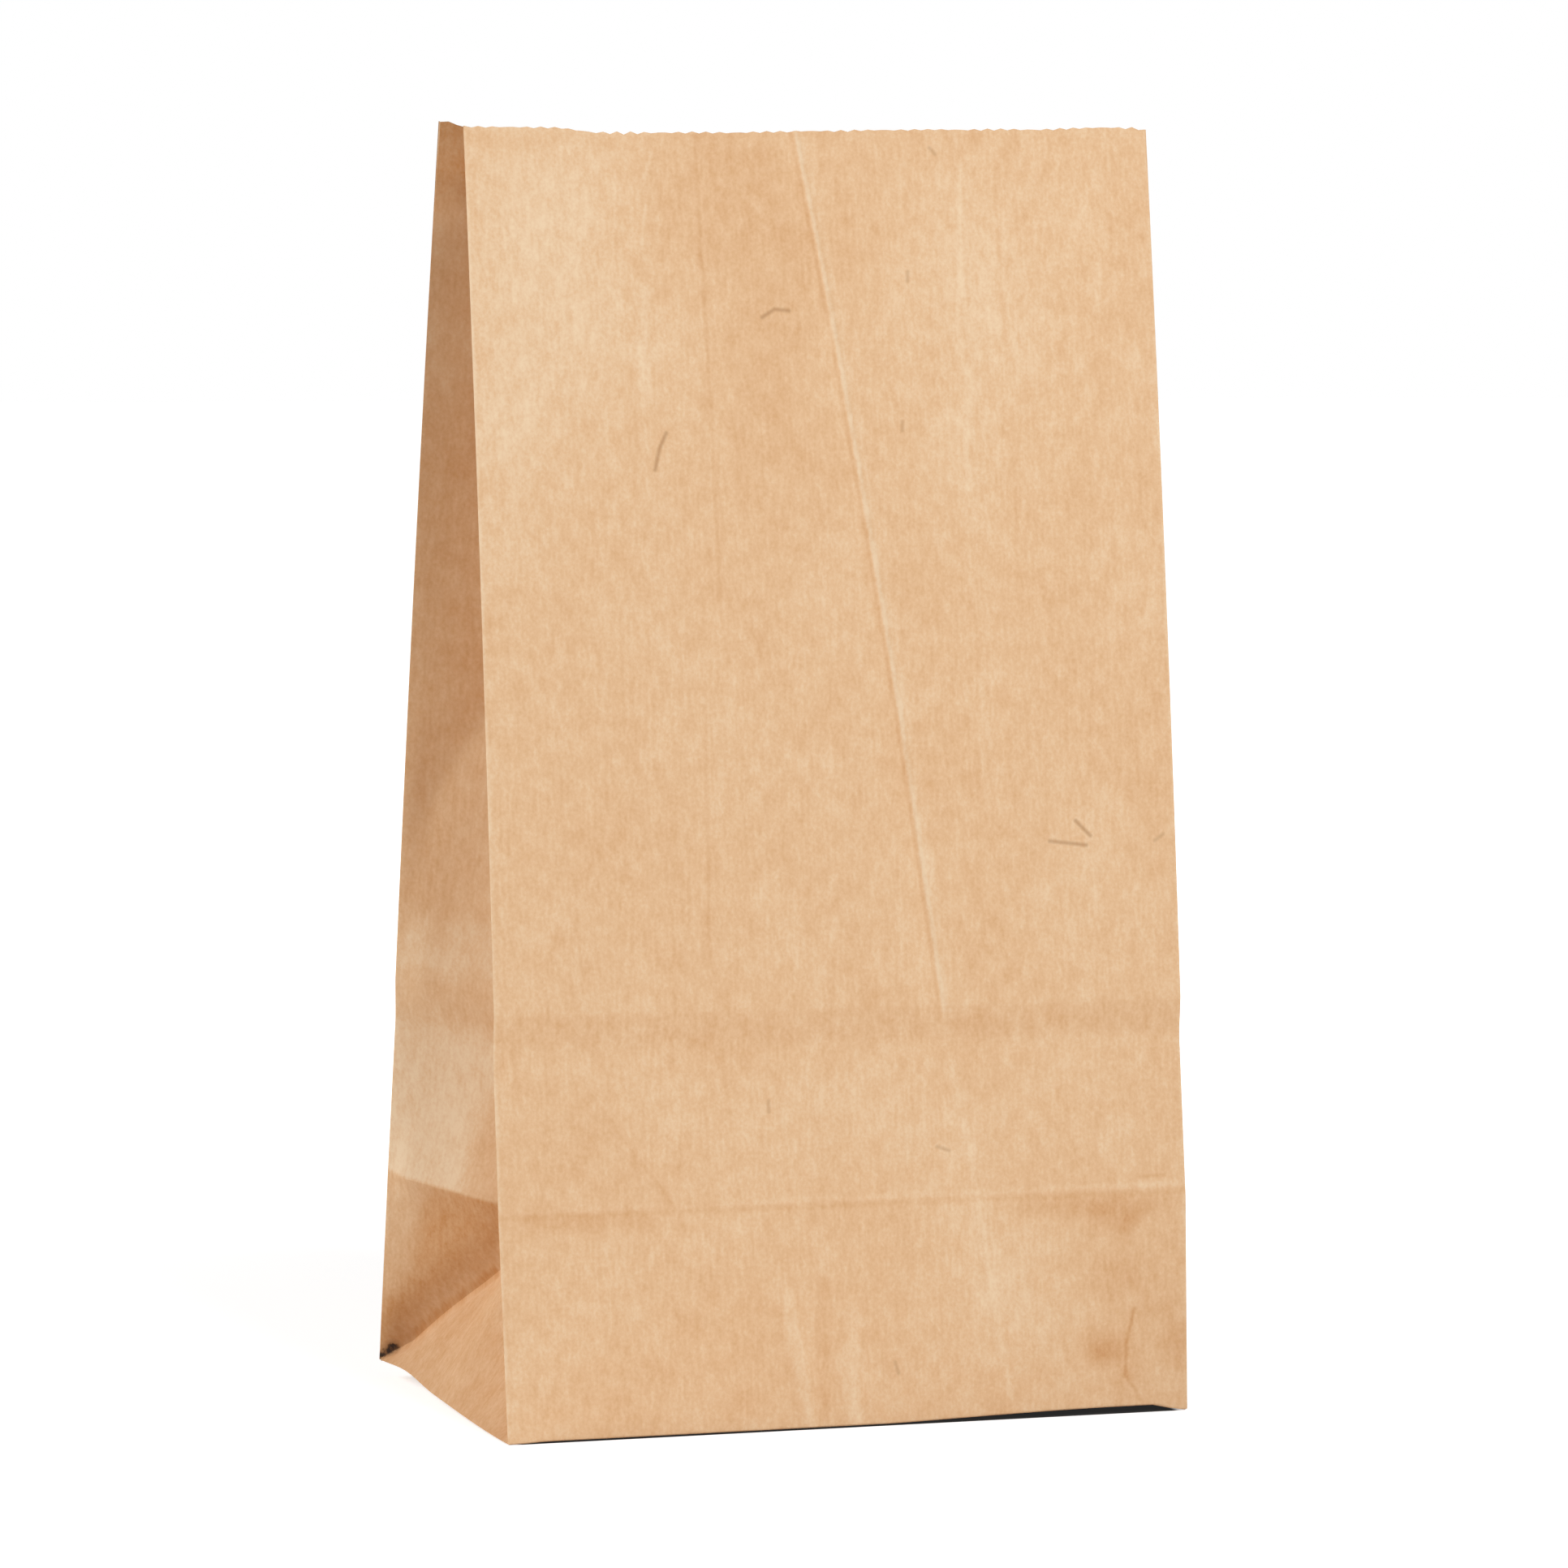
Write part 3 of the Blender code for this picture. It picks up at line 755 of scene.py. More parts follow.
def fold_rounding(flat, folded):
    """Moves a point near an upright fold or a base fold onto a small round."""
    x, y, height = flat
    moved = folded.copy()
    side = math.copysign(1.0, x)
    end = math.copysign(1.0, y)
    from_x = HALF_WIDTH - abs(x)
    from_y = HALF_DEPTH - abs(y)
    probe = 0.001
    at_fold = from_y < NEAR and from_x < FOLD_ROUNDING or from_x < NEAR and from_y < FOLD_ROUNDING
    if height > NEAR and at_fold:
        fold = fold_panel(side * HALF_WIDTH, end, height)
        panel = (fold_panel(side * (HALF_WIDTH - probe), end, height) - fold).normalized()
        gusset = (fold_gusset(side * HALF_WIDTH, end * (HALF_DEPTH - probe), height) - fold).normalized()
        share = 1 - max(from_x, from_y) / FOLD_ROUNDING
        moved += (panel + gusset) * FOLD_ROUNDING * share**2 / 4
    if height < FOLD_ROUNDING:
        if from_y < FOLD_ROUNDING and (from_y < NEAR or height < NEAR):
            share = 1 - max(height, from_y) / FOLD_ROUNDING
            moved += Vector((0, -end, 1)) * FOLD_ROUNDING * share**2 / 4
        if from_x < FOLD_ROUNDING and (from_x < NEAR or height < NEAR):
            share = 1 - max(height, from_x) / FOLD_ROUNDING
            moved += Vector((-side, 0, 1)) * FOLD_ROUNDING * share**2 / 4
    return moved


def along_line(points, place):
    """The height of a line of (place, height) points at this place."""
    if place <= points[0][0]:
        return points[0][1]
    for a, b in zip(points, points[1:]):
        if place <= b[0]:
            return a[1] + (b[1] - a[1]) * (place - a[0]) / (b[0] - a[0])
    return points[-1][1]


def rim_line_drop(flat):
    """How far the rim as a whole lies below its even height at this place, in metres."""
    if abs(flat.x) > HALF_WIDTH - NEAR:
        line = LEFT_GUSSET_RIM_LINE if flat.x < 0 else RIGHT_GUSSET_RIM_LINE
        return along_line(line, (HALF_DEPTH - flat.y) / MM) * MM
    return along_line(FRONT_RIM_LINE if flat.y < 0 else BACK_RIM_LINE, flat.x / MM) * MM


def rim_noise(across, size, seed):
    """An uneven pattern along the cut rim, from -1 to 1."""
    return noise.noise(Vector((across / MM / size, seed, 0.0)))


def tooth_drop(across, settings):
    """How far the cut rim lies below the tips of the teeth at this place of the sheet, in metres."""
    phase = across / settings.tooth_pitch
    uneven = 0.75 + 0.5 * rim_noise(across, *TOOTH_PATCHES)
    tooth = settings.tooth_depth * (0.5 - 0.5 * math.cos(2 * math.pi * phase)) * uneven
    return tooth + RIM_DRIFT_DEPTH * (0.5 + 0.5 * rim_noise(across, *RIM_DRIFT))


def base_lift(x, y, height, settings):
    """How far the base stands off the ground at its front edge, and at its back left corner."""
    front = max(settings.front_lift * smooth_step(x, *LIFT_START), FRONT_GAP * smooth_step(x, *GAP_START))
    front *= smooth_fall(x, *FRONT_CORNER) * smooth_fall(y + HALF_DEPTH, *FRONT_REACH)
    front *= smooth_fall(height, *FRONT_TOP)
    back = settings.corner_lift * smooth_step(y, 0.0, DEPTH)
    back += BASE_BOW * smooth_fall(abs(y - BOW_MIDDLE), *BOW_REACH)
    back *= smooth_fall(x, *BACK_LIFT_END) * smooth_fall(height, *BACK_LIFT_TOP)
    return front + back


def fold_sheet(bag, settings):
    """Folds the drawn sheet into the bag, and shapes its waves, creases and cut rim."""
    mesh = bmesh.from_edit_mesh(bag.data)
    mesh.normal_update()
    map_sheet(mesh)
    flats = [vert.co.copy() for vert in mesh.verts]
    places = []
    for vert in mesh.verts:
        upright_faces = [face for face in vert.link_faces if face.normal.z > -0.5]
        face = upright_faces[0] if upright_faces else vert.link_faces[0]
        places.append(sheet_place(vert.co, face.normal))
    for vert, flat, place in zip(mesh.verts, flats, places):
        height = flat.z
        if height > HEIGHT - RIM_BAND:
            height -= rim_line_drop(flat) * (1 - (HEIGHT - flat.z) / RIM_BAND)
        if flat.z > HEIGHT - NEAR:
            height -= tooth_drop(place.x, settings)
        vert.co = fold_rounding(Vector((flat.x, flat.y, height)), fold_point((flat.x, flat.y, height)))
    mesh.normal_update()
    for vert, flat, place in zip(mesh.verts, flats, places):
        vert.co += vert.normal * panel_relief(place, settings)
        if flat.y > HALF_DEPTH - NEAR and flat.z > NEAR:
            ramp = smooth_step(flat.x, -SEAM_LAP / 2, SEAM_RAMP)
            if flat.x > SEAM_LAP / 2 + SEAM_EDGE / 2:
                ramp = 0.0
            vert.co.y += ramp * PAPER
        vert.co.z += base_lift(flat.x, flat.y, flat.z, settings)
    bmesh.update_edit_mesh(bag.data)


def give_thickness(bag):
    """Gives the folded sheet its wall, to the inside."""
    wall = bag.modifiers.new("paper", "SOLIDIFY")
    wall.thickness = PAPER
    wall.offset = -1
    wall.use_even_offset = True
    wall.use_quality_normals = True
    bpy.ops.object.modifier_apply(modifier=wall.name)


def is_under_flap(face, end):
    """Whether a face lies on the flap that is hinged at this end of the base: -1 front, 1 back."""
    centre = face.calc_center_median()
    reach = HALF_DEPTH - end * centre.y
    return FOLD_ROUNDING < reach < FLAP_REACH and abs(centre.x) < HALF_WIDTH - reach


def lay_flaps(bag):
    """Lays the two pasted flaps under the base, each one sheet thick."""
    bpy.ops.object.mode_set(mode="EDIT")
    bpy.ops.mesh.select_mode(type="FACE")
    for flaps in ((-1, 1), (1,)):
        select_only(bag, lambda face: face.normal.z < -0.9 and face.calc_center_median().z < BASE_CEILING
                    and any(is_under_flap(face, end) for end in flaps))
        bpy.ops.mesh.extrude_region_move(TRANSFORM_OT_translate={"value": (0, 0, -PAPER)})
    bpy.ops.mesh.select_all(action="SELECT")
    bpy.ops.transform.translate(value=(0, 0, BASE_LEVEL))
    bpy.ops.mesh.select_all(action="DESELECT")
    bpy.ops.object.mode_set(mode="OBJECT")


def add_node(tree, kind, **settings):
    """Adds a node with its settings."""
    node = tree.nodes.new(kind)
    for name, value in settings.items():
        setattr(node, name, value)
    return node


def link(tree, value, socket):
    """Feeds a socket with another node's output, or with a plain value."""
    if isinstance(value, bpy.types.NodeSocket):
        tree.links.new(value, socket)
    else:
        socket.default_value = value


def maths(tree, operation, first, second=None, third=None, clamp=False):
    node = add_node(tree, "ShaderNodeMath", operation=operation, use_clamp=clamp)
    for value, socket in zip((first, second, third), node.inputs):
        if value is not None:
            link(tree, value, socket)
    return node.outputs[0]


def plus(tree, first, second):
    return maths(tree, "ADD", first, second)


def minus(tree, first, second):
    return maths(tree, "SUBTRACT", first, second)


def times(tree, first, second):
    return maths(tree, "MULTIPLY", first, second)


def vector_maths(tree, operation, first, second=None, scale=None):
    node = add_node(tree, "ShaderNodeVectorMath", operation=operation)
    link(tree, first, node.inputs[0])
    if second is not None:
        link(tree, second, node.inputs[1])
    if scale is not None:
        link(tree, scale, node.inputs["Scale"])
    return node.outputs["Value" if operation in ("DOT_PRODUCT", "LENGTH") else "Vector"]


def blend(tree, share, first, second, beyond=False):
    """Mixes two colours. The share may go beyond 1 where that is asked for."""
    node = add_node(tree, "ShaderNodeMix", data_type="RGBA", blend_type="MIX", clamp_factor=not beyond)
    link(tree, share, node.inputs[0])
    link(tree, first, node.inputs[6])
    link(tree, second, node.inputs[7])
    return node.outputs[2]


def stretch(tree, value, low, high, to_low=0.0, to_high=1.0, smooth=True):
    """Maps a value from one range to another, and holds it inside."""
    node = add_node(tree, "ShaderNodeMapRange", interpolation_type="SMOOTHSTEP" if smooth else "LINEAR")
    link(tree, value, node.inputs["Value"])
    for name, number in (("From Min", low), ("From Max", high), ("To Min", to_low), ("To Max", to_high)):
        link(tree, number, node.inputs[name])
    return node.outputs[0]


def cloud(tree, vector, scale, detail=2.0, rough=0.5, offset=(0, 0, 0), size=(1, 1, 1), turn=(0, 0, 0)):
    """A noise pattern on the sheet, its scale counted per mm."""
    place = add_node(tree, "ShaderNodeMapping", vector_type="POINT")
    link(tree, vector, place.inputs["Vector"])
    place.inputs["Location"].default_value = offset
    place.inputs["Scale"].default_value = size
    place.inputs["Rotation"].default_value = turn
    node = add_node(tree, "ShaderNodeTexNoise", noise_dimensions="3D")
    link(tree, place.outputs[0], node.inputs["Vector"])
    node.inputs["Scale"].default_value = scale
    node.inputs["Detail"].default_value = detail
    node.inputs["Roughness"].default_value = rough
    return node.outputs["Fac"]


def new_group(name, inputs, outputs):
    """A shader node group with the named inputs (name, kind, default) and outputs (name, kind)."""
    group = bpy.data.node_groups.new(name, "ShaderNodeTree")
    for label, kind, default in inputs:
        socket = group.interface.new_socket(name=label, in_out="INPUT", socket_type=kind)
        if default is not None:
            socket.default_value = default
    for label, kind in outputs:
        group.interface.new_socket(name=label, in_out="OUTPUT", socket_type=kind)
    start = group.nodes.new("NodeGroupInput")
    end = group.nodes.new("NodeGroupOutput")
    return group, start, end


def line_mark_group():
    """A mask that is 1 on a straight line from one place of the sheet to another, and soft beside it."""
    group, start, end = new_group(
        "Line mark",
        (("Sheet", "NodeSocketVector", None), ("From", "NodeSocketVector", None),
         ("To", "NodeSocketVector", None), ("Width", "NodeSocketFloat", 0.3)),
        (("Mask", "NodeSocketFloat"),))
    run = vector_maths(group, "SUBTRACT", start.outputs["To"], start.outputs["From"])
    to = vector_maths(group, "SUBTRACT", start.outputs["Sheet"], start.outputs["From"])
    along = maths(group, "DIVIDE", vector_maths(group, "DOT_PRODUCT", to, run),
                  vector_maths(group, "DOT_PRODUCT", run, run), clamp=True)
    off = vector_maths(group, "SUBTRACT", to, vector_maths(group, "SCALE", run, scale=along))
    distance = maths(group, "DIVIDE", vector_maths(group, "LENGTH", off), start.outputs["Width"])
    mask = stretch(group, distance, 0.0, 1.0, 1.0, 0.0)
    group.links.new(mask, end.inputs["Mask"])
    return group


def place_mark(tree, group, sheet, **inputs):
    """Puts a mark on the sheet, with the values of its group's inputs."""
    node = add_node(tree, "ShaderNodeGroup", node_tree=group)
    tree.links.new(sheet, node.inputs["Sheet"])
    for name, value in inputs.items():
        node.inputs[name].default_value = value
    return node.outputs["Mask"]


def line_mark(tree, group, sheet, start, end, width):
    return place_mark(tree, group, sheet, From=(*start, 0), To=(*end, 0), Width=width)


def strongest(tree, masks):
    """The largest of several masks."""
    total = masks[0]
    for mask in masks[1:]:
        total = maths(tree, "MAXIMUM", total, mask)
    return total


def soft_blot_group():
    """A mask that is 1 in the middle of an oval on the sheet and falls softly to 0 at its rim."""
    group, start, end = new_group(
        "Soft blot",
        (("Sheet", "NodeSocketVector", None), ("Centre", "NodeSocketVector", None),
         ("Radii", "NodeSocketVector", None)),
        (("Mask", "NodeSocketFloat"),))
    to = vector_maths(group, "SUBTRACT", start.outputs["Sheet"], start.outputs["Centre"])
    distance = vector_maths(group, "LENGTH", vector_maths(group, "DIVIDE", to, start.outputs["Radii"]))
    group.links.new(stretch(group, distance, 0.0, 1.0, 1.0, 0.0), end.inputs["Mask"])
    return group


def soft_blot(tree, group, sheet, centre, radii):
    return place_mark(tree, group, sheet, Centre=(*centre, 0), Radii=(*radii, 1))


def window(tree, value, low, high, low_soft, high_soft):
    """A mask that is 1 between two bounds, each with its own softness."""
    rise = stretch(tree, value, low - low_soft, low + low_soft)
    fall = stretch(tree, value, high - high_soft, high + high_soft, 1.0, 0.0)
    return times(tree, rise, fall)


def centred(tree, pattern, strength):
    """A noise pattern as a tone round zero."""
    return maths(tree, "MULTIPLY_ADD", pattern, strength, -strength / 2)


def left_rim_shade(tree, across, up):
    """Painted shade at the top of the left gusset's back half. It runs on over the back panel, up to the
    seam.
    """
    return times(tree, stretch(tree, across, *LEFT_RIM_SHADE_END), stretch(tree, up, *LEFT_RIM_SHADE_START))


def gusset_light_and_shade(tree, across, up):
    """Painted light and shade that follow the folds: painted shade inside the pleat, the pockets and along
    the back fold, painted light on the lower bulge, and the painted shade at the top of the left gusset.
    """
    from_middle = maths(tree, "ABSOLUTE", across)
    gusset = window(tree, from_middle, FRONT_FOLD / MM, BACK_FOLD / MM, *FOLD_SOFT)
    from_back = minus(tree, BACK_FOLD / MM, from_middle)
    above_pleat = minus(tree, up, maths(tree, "MULTIPLY_ADD", from_back, PLEAT_SLOPE, PLEAT_FOOT))
    above_pocket = minus(tree, up, from_back)
    # painted shade in the pleat and along the back fold
    edge = times(tree, stretch(tree, from_back, *EDGE_SHADE), stretch(tree, up, *EDGE_SHADE_START))
    total = maths(tree, "MAXIMUM", stretch(tree, above_pleat, *PLEAT_SHADE), edge)

    # painted shade in the pocket, with painted light near the back fold
    shade = plus(tree, stretch(tree, above_pocket, *POCKET_SHADE), stretch(tree, above_pocket, *POCKET_SHADE_FADE))
    corner = times(tree, stretch(tree, from_back, *CORNER_LIGHT), stretch(tree, above_pocket, *CORNER_LIGHT_START))
    shade = maths(tree, "MAXIMUM", plus(tree, shade, corner), POCKET_SHADE_LEAST)
    pocket = times(tree, stretch(tree, above_pocket, *POCKET_SHADE_START), stretch(tree, up, *POCKET_SHADE_TOP))
    total = plus(tree, total, times(tree, shade, pocket))

    # painted light on the lower bulge, turning to painted shade away from the back fold
    near_front = times(tree, stretch(tree, from_back, *BULGE_FRONT_SHADE), stretch(tree, up, *BULGE_FRONT_SHADE_TOP))
    bulge = plus(tree, stretch(tree, up, *BULGE_LIGHT), near_front)
    total = plus(tree, total, times(tree, window(tree, up, *BULGE_WINDOW), bulge))
    for heights, depth in GUSSET_SHADE_AND_LIGHT_BANDS:
        total = plus(tree, total, times(tree, window(tree, up, *heights), depth))
    for amount in (stretch(tree, above_pocket, *FOOT_SHADE), stretch(tree, up, *OPENING_TONE),
                   times(tree, left_rim_shade(tree, across, up), LEFT_RIM_SHADE)):
        total = plus(tree, total, amount)
    return times(tree, total, gusset)


def line_tones_and_light(tree, marks, sheet, wobbly, tone):
    """Adds the drawn lines to the tone, many of them painted highlight and painted shade along creases, folds
    and puckers. Those of a fold or of the slanting crease run straight.
    """
    for name, points, width, depth in LINES_OF_TONE_AND_LIGHT:
        place = sheet if name.endswith("fold") or name.startswith("slant") else wobbly
        stretches = [line_mark(tree, marks, place, a, b, width) for a, b in zip(points, points[1:])]
        tone = maths(tree, "MULTIPLY_ADD", strongest(tree, stretches), depth, tone)
    return tone


def slant_light_and_shade(tree, across, up, tone):
    """Adds the painted highlight and painted shade lines along the slanting crease to the tone."""
    bend = maths(tree, "MULTIPLY_ADD", up, SLANT[2], SLANT[1])
    aside = minus(tree, across, maths(tree, "MULTIPLY_ADD", bend, up, SLANT[0]))
    slanting = window(tree, up, *SLANT_WINDOW)
    for place, width, depth in SLANT_LIGHT_AND_SHADE:
        off = maths(tree, "ABSOLUTE", minus(tree, aside, place))
        tone = maths(tree, "MULTIPLY_ADD", stretch(tree, off, 0.0, width, depth, 0.0), slanting, tone)
    return tone


def fleck_mask(tree, marks, sheet, flecks, share):
    """A mask of all the flecks of one strength."""
    lines = [line_mark(tree, marks, sheet, a, b, FLECK_WIDTH) for a, b in flecks]
    return times(tree, strongest(tree, lines), share)


def kraft_paper(settings):
    """Uncoated brown kraft: cloudy fibres, worn creases, stains and bark flecks, with light and shade painted
    into its colour: painted highlight and shade along creases, folds and puckers, painted shade in the
    gussets, on the band under the ridge and in the back left nook, and painted light at the top of the front.
    """
    material = bpy.data.materials.new("kraft_paper")
    material.use_nodes = True
    tree = material.node_tree
    shader = tree.nodes["Principled BSDF"]
    uv = add_node(tree, "ShaderNodeUVMap", uv_map="sheet")
    sheet = vector_maths(tree, "SCALE", uv.outputs["UV"], scale=1 / MM)
    axes = add_node(tree, "ShaderNodeSeparateXYZ")
    tree.links.new(sheet, axes.inputs[0])
    across, up = axes.outputs["X"], axes.outputs["Y"]
    clouds, mottle, grain, streaks = (
        cloud(tree, sheet, **pattern) for pattern in (CLOUDS, MOTTLE, GRAIN, STREAKS))
    tone = centred(tree, clouds, CLOUD_TONE)
    for pattern, strength in ((mottle, MOTTLE_TONE), (grain, GRAIN_TONE), (streaks, STREAK_TONE)):
        tone = plus(tree, tone, centred(tree, pattern, strength))

    blots = soft_blot_group()
    for _, centre, radii, depth in BLOTS:
        tone = maths(tree, "MULTIPLY_ADD", soft_blot(tree, blots, sheet, centre, radii), depth, tone)
    # painted shade on the band under the ridge of the front
    front = window(tree, maths(tree, "ABSOLUTE", across), -1.0, FRONT_FOLD / MM, *FOLD_SOFT)
    band = times(tree, front, window(tree, up, *BAND_WINDOW))
    tone = plus(tree, tone, times(tree, band, stretch(tree, mottle, *BAND_PAINTED_SHADE)))
    tone = plus(tree, tone, gusset_light_and_shade(tree, across, up))

    shift = add_node(tree, "ShaderNodeCombineXYZ")
    tree.links.new(centred(tree, cloud(tree, sheet, **WOBBLE), WOBBLE_REACH), shift.inputs["X"])
    wobbly = vector_maths(tree, "ADD", sheet, shift.outputs[0])
    marks = line_mark_group()
    tone = line_tones_and_light(tree, marks, sheet, wobbly, tone)
    tone = slant_light_and_shade(tree, across, up, tone)
    # The deep and pale shares carry the stains and wear and also the painted light and shade.
    deep = stretch(tree, tone, *DEEP_SHARE, smooth=False)
    pale = stretch(tree, tone, *PALE_SHARE, smooth=False)
    colour = blend(tree, deep, settings.paper, settings.deep, beyond=True)
    colour = blend(tree, pale, colour, settings.pale)

    # painted shade: black mixed into the top of the left gusset
    rim = times(tree, left_rim_shade(tree, across, up), stretch(tree, across, *LEFT_RIM_SHADE_BLACK))
    colour = blend(tree, rim, colour, SHADE_BLACK)
    dark = maths(tree, "MAXIMUM", fleck_mask(tree, marks, sheet, FLECKS, FLECK_SHARE),
                 fleck_mask(tree, marks, sheet, FAINT_FLECKS, FAINT_FLECK_SHARE))
    # painted shade in the back left nook: grainy, in the fleck colour, with a near-black heart
    nook = times(tree, line_mark(tree, marks, wobbly, *NOOK_SHADE_LINE), stretch(tree, grain, *NOOK_SHADE_GRAIN))
    colour = blend(tree, maths(tree, "ADD", dark, nook, clamp=True), colour, settings.fleck)
    colour = blend(tree, stretch(tree, nook, *NOOK_SHADE_HEART), colour, NOOK_SHADE_COLOUR)
    tree.links.new(colour, shader.inputs["Base Color"])

    roughness = stretch(tree, mottle, *MOTTLE_RANGE, settings.roughness - ROUGHNESS_CHANGE,
                        settings.roughness + ROUGHNESS_CHANGE)
    tree.links.new(roughness, shader.inputs["Roughness"])
    shader.inputs["Specular IOR Level"].default_value = PAPER_SPECULAR
    bump = add_node(tree, "ShaderNodeBump")
    bump.inputs["Distance"].default_value = BUMP_DISTANCE
    bump.inputs["Strength"].default_value = BUMP_STRENGTH
    height = maths(tree, "MULTIPLY_ADD", grain, BUMP_GRAIN, times(tree, streaks, BUMP_STREAKS))
    tree.links.new(height, bump.inputs["Height"])
    tree.links.new(bump.outputs["Normal"], shader.inputs["Normal"])
    return material


class OBJECT_OT_paper_bag_sheet(bpy.types.Operator):
    """Fold the sheet of kraft paper into the standing bag"""

    bl_idname = "object.paper_bag_sheet"
    bl_label = "Fold the bag"

    def execute(self, context):
        settings = context.scene.paper_bag_sheet
        bpy.ops.object.select_all(action="DESELECT")
        bpy.ops.mesh.primitive_cube_add(size=1.0, location=(0, 0, HEIGHT / 2), scale=(WIDTH, DEPTH, HEIGHT))
        bag = context.object
        bag.name = "folded_paper_bag"
        bag.data.name = "folded_paper_bag"
        bpy.ops.object.transform_apply(location=True, rotation=True, scale=True)
        bpy.ops.object.mode_set(mode="EDIT")
        draw_sheet(bag)
        draw_lines(bag)
        draw_base_grid(bag)
        fold_sheet(bag, settings)
        bpy.ops.object.mode_set(mode="OBJECT")
        bag.data.uv_layers[0].name = "sheet"
        give_thickness(bag)
        lay_flaps(bag)
        bpy.ops.object.shade_smooth_by_angle(angle=SMOOTH_ANGLE)
        bag.data.materials.clear()
        bag.data.materials.append(kraft_paper(context.scene.paper_bag_finish))
        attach(bag, "root")
        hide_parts("paper_bag")
        return {"FINISHED"}


def paint_floor():
    """White floor that keeps the bag's shadow and is seen as white, with a painted shadow under the bag,
    where it is dark.
    """
    material = bpy.data.materials.new("studio_floor")
    material.use_nodes = True
    tree = material.node_tree
    shader = tree.nodes["Principled BSDF"]
    shader.inputs["Roughness"].default_value = 0.9
    shader.inputs["Specular IOR Level"].default_value = 0.0
    place = add_node(tree, "ShaderNodeTexCoord").outputs["Object"]
    white = stretch(tree, vector_maths(tree, "LENGTH", place), *FLOOR_WHITE)
    axes = add_node(tree, "ShaderNodeSeparateXYZ")
    tree.links.new(place, axes.inputs[0])
    # painted shadow: dark colour and little white in the windows under the bag
    under = strongest(tree, [
        times(tree, window(tree, axes.outputs["X"], *across), window(tree, axes.outputs["Y"], *deep))
        for across, deep in SHADOW_UNDER_BAG])
    white = times(tree, white, maths(tree, "MULTIPLY_ADD", under, -SHADOW_UNDER_BAG_DIM, 1.0))
    seen = add_node(tree, "ShaderNodeLightPath").outputs["Is Camera Ray"]
    tree.links.new(times(tree, seen, white), shader.inputs["Emission Strength"])
    tree.links.new(blend(tree, under, FLOOR_COLOUR, SHADOW_UNDER_BAG_COLOUR), shader.inputs["Base Color"])
    shader.inputs["Emission Color"].default_value = WHITE
    return material


def light_world(context, strength):
    """Even light from all round, seen as white by the camera and in reflections."""
    world = bpy.data.worlds.new("studio")
    context.scene.world = world
    world.use_nodes = True
    tree = world.node_tree
    background = tree.nodes["Background"]
    background.inputs["Color"].default_value = WHITE
    path = add_node(tree, "ShaderNodeLightPath")
    seen = maths(tree, "MAXIMUM", path.outputs["Is Camera Ray"], path.outputs["Is Glossy Ray"])
    seen = maths(tree, "MAXIMUM", seen, path.outputs["Is Transmission Ray"])
    level = stretch(tree, seen, 0.0, 1.0, strength, 1.0, smooth=False)
    tree.links.new(level, background.inputs["Strength"])


def soft_lamp(context, name, place, power):
    """A round lamp that faces the middle of the bag."""
    bpy.ops.object.light_add(type="AREA", location=place)
    lamp = context.object
    lamp.name = name
    lamp.data.shape = "DISK"
    lamp.data.size = LAMP_SIZE
    lamp.data.energy = power
    aim = Vector((0, 0, HEIGHT / 2)) - lamp.location
    lamp.rotation_euler = aim.to_track_quat("-Z", "Y").to_euler()


def place_camera(context, lens):
    """Places the camera at the photograph's viewing angle."""
    yaw, pitch, roll = (math.radians(angle) for angle in CAMERA_TURN)
    forward = Vector((math.sin(yaw) * math.cos(pitch), math.cos(yaw) * math.cos(pitch), -math.sin(pitch)))
    level = Vector((math.cos(yaw), -math.sin(yaw), 0))
    up = level.cross(forward)
    right = level * math.cos(roll) + up * math.sin(roll)
    top = up * math.cos(roll) - level * math.sin(roll)
    bpy.ops.object.camera_add()
    camera = context.object
    camera.name = "camera"
    camera.data.lens = lens
    camera.data.sensor_width = 36.0
    camera.data.clip_end = 50.0
    turn = Matrix((right, top, -forward)).transposed()
    camera.matrix_world = Matrix.Translation(CAMERA_PLACE) @ turn.to_4x4()
    context.scene.camera = camera


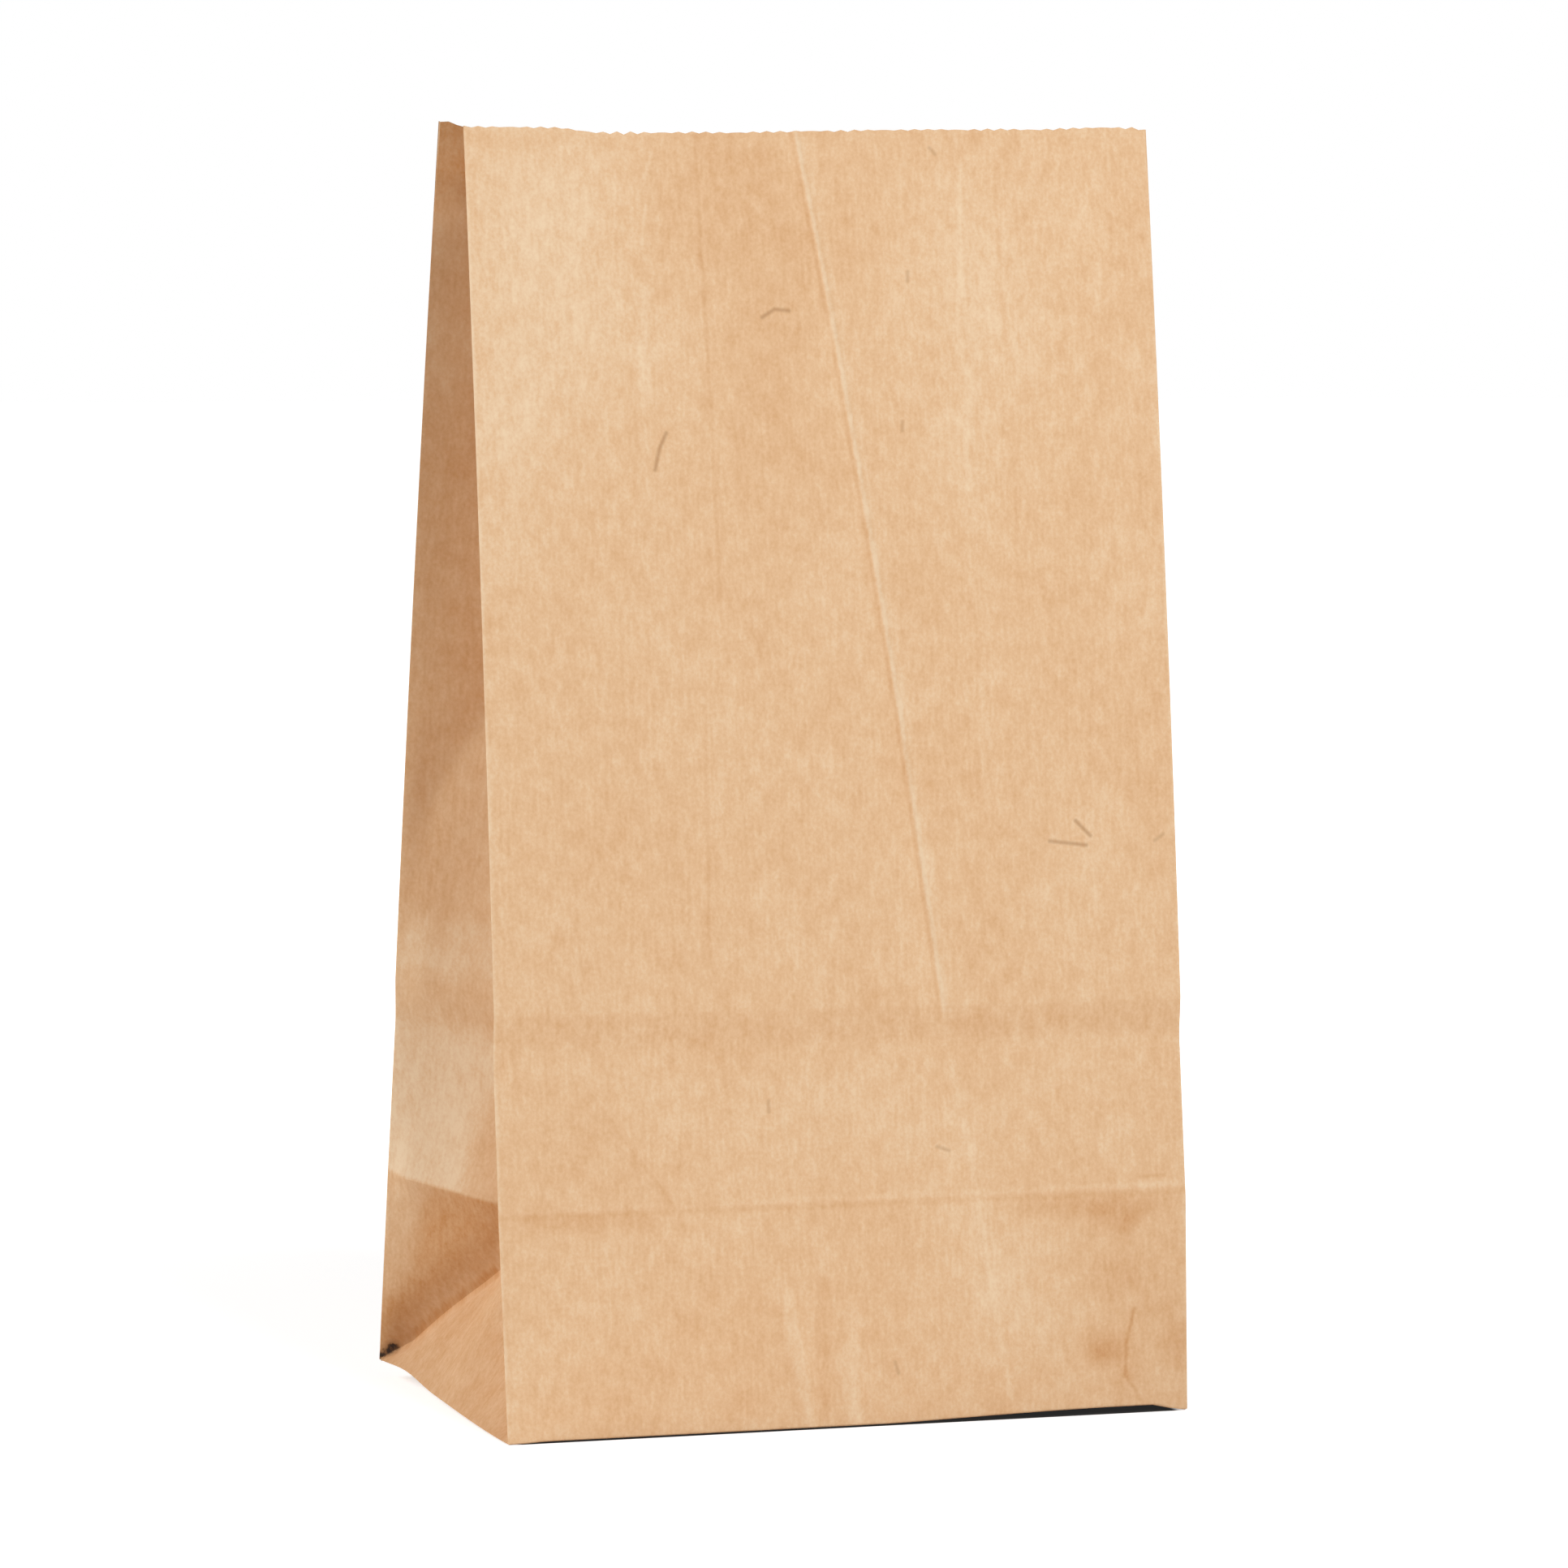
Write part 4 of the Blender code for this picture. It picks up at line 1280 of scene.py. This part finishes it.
class SCENE_OT_paper_bag_stage(bpy.types.Operator):
    """Set the white floor, the soft light and the camera"""

    bl_idname = "scene.paper_bag_stage"
    bl_label = "Set the studio"

    def execute(self, context):
        settings = context.scene.paper_bag_studio
        bpy.ops.object.select_all(action="DESELECT")
        bpy.ops.mesh.primitive_plane_add(size=FLOOR_SIZE, location=(0, 0, 0))
        floor = context.object
        floor.name = "floor"
        floor.data.materials.append(paint_floor())
        soft_lamp(context, "key_light", KEY_PLACE, settings.key_power)
        soft_lamp(context, "side_light", SIDE_PLACE, settings.side_power)
        light_world(context, settings.fill)
        place_camera(context, settings.lens)
        context.scene.view_settings.view_transform = "Standard"
        return {"FINISHED"}


class VIEW3D_PT_paper_bag(bpy.types.Panel):
    """Lists what the bag and its studio are made with"""

    bl_label = "Paper grocery bag"
    bl_space_type = "VIEW_3D"
    bl_region_type = "UI"
    bl_category = "Paper bag"

    def draw(self, context):
        layout = self.layout
        for title, settings, operator in (
                ("Sheet", context.scene.paper_bag_sheet, OBJECT_OT_paper_bag_sheet.bl_idname),
                ("Finish", context.scene.paper_bag_finish, None),
                ("Studio", context.scene.paper_bag_studio, SCENE_OT_paper_bag_stage.bl_idname)):
            box = layout.box()
            box.label(text=title)
            for name in settings.__annotations__:
                box.prop(settings, name)
            if operator:
                box.operator(operator)


CLASSES = (
    PaperBagSheet, PaperBagFinish, PaperBagStudio,
    OBJECT_OT_paper_bag_sheet, SCENE_OT_paper_bag_stage, VIEW3D_PT_paper_bag,
)


def register():
    for cls in CLASSES:
        bpy.utils.register_class(cls)
    bpy.types.Scene.paper_bag_sheet = bpy.props.PointerProperty(type=PaperBagSheet)
    bpy.types.Scene.paper_bag_finish = bpy.props.PointerProperty(type=PaperBagFinish)
    bpy.types.Scene.paper_bag_studio = bpy.props.PointerProperty(type=PaperBagStudio)


def unregister():
    del bpy.types.Scene.paper_bag_studio
    del bpy.types.Scene.paper_bag_finish
    del bpy.types.Scene.paper_bag_sheet
    for cls in reversed(CLASSES):
        bpy.utils.unregister_class(cls)


def main():
    register()
    bpy.ops.object.paper_bag_sheet()
    bpy.ops.scene.paper_bag_stage()


if __name__ == "__main__":
    main()
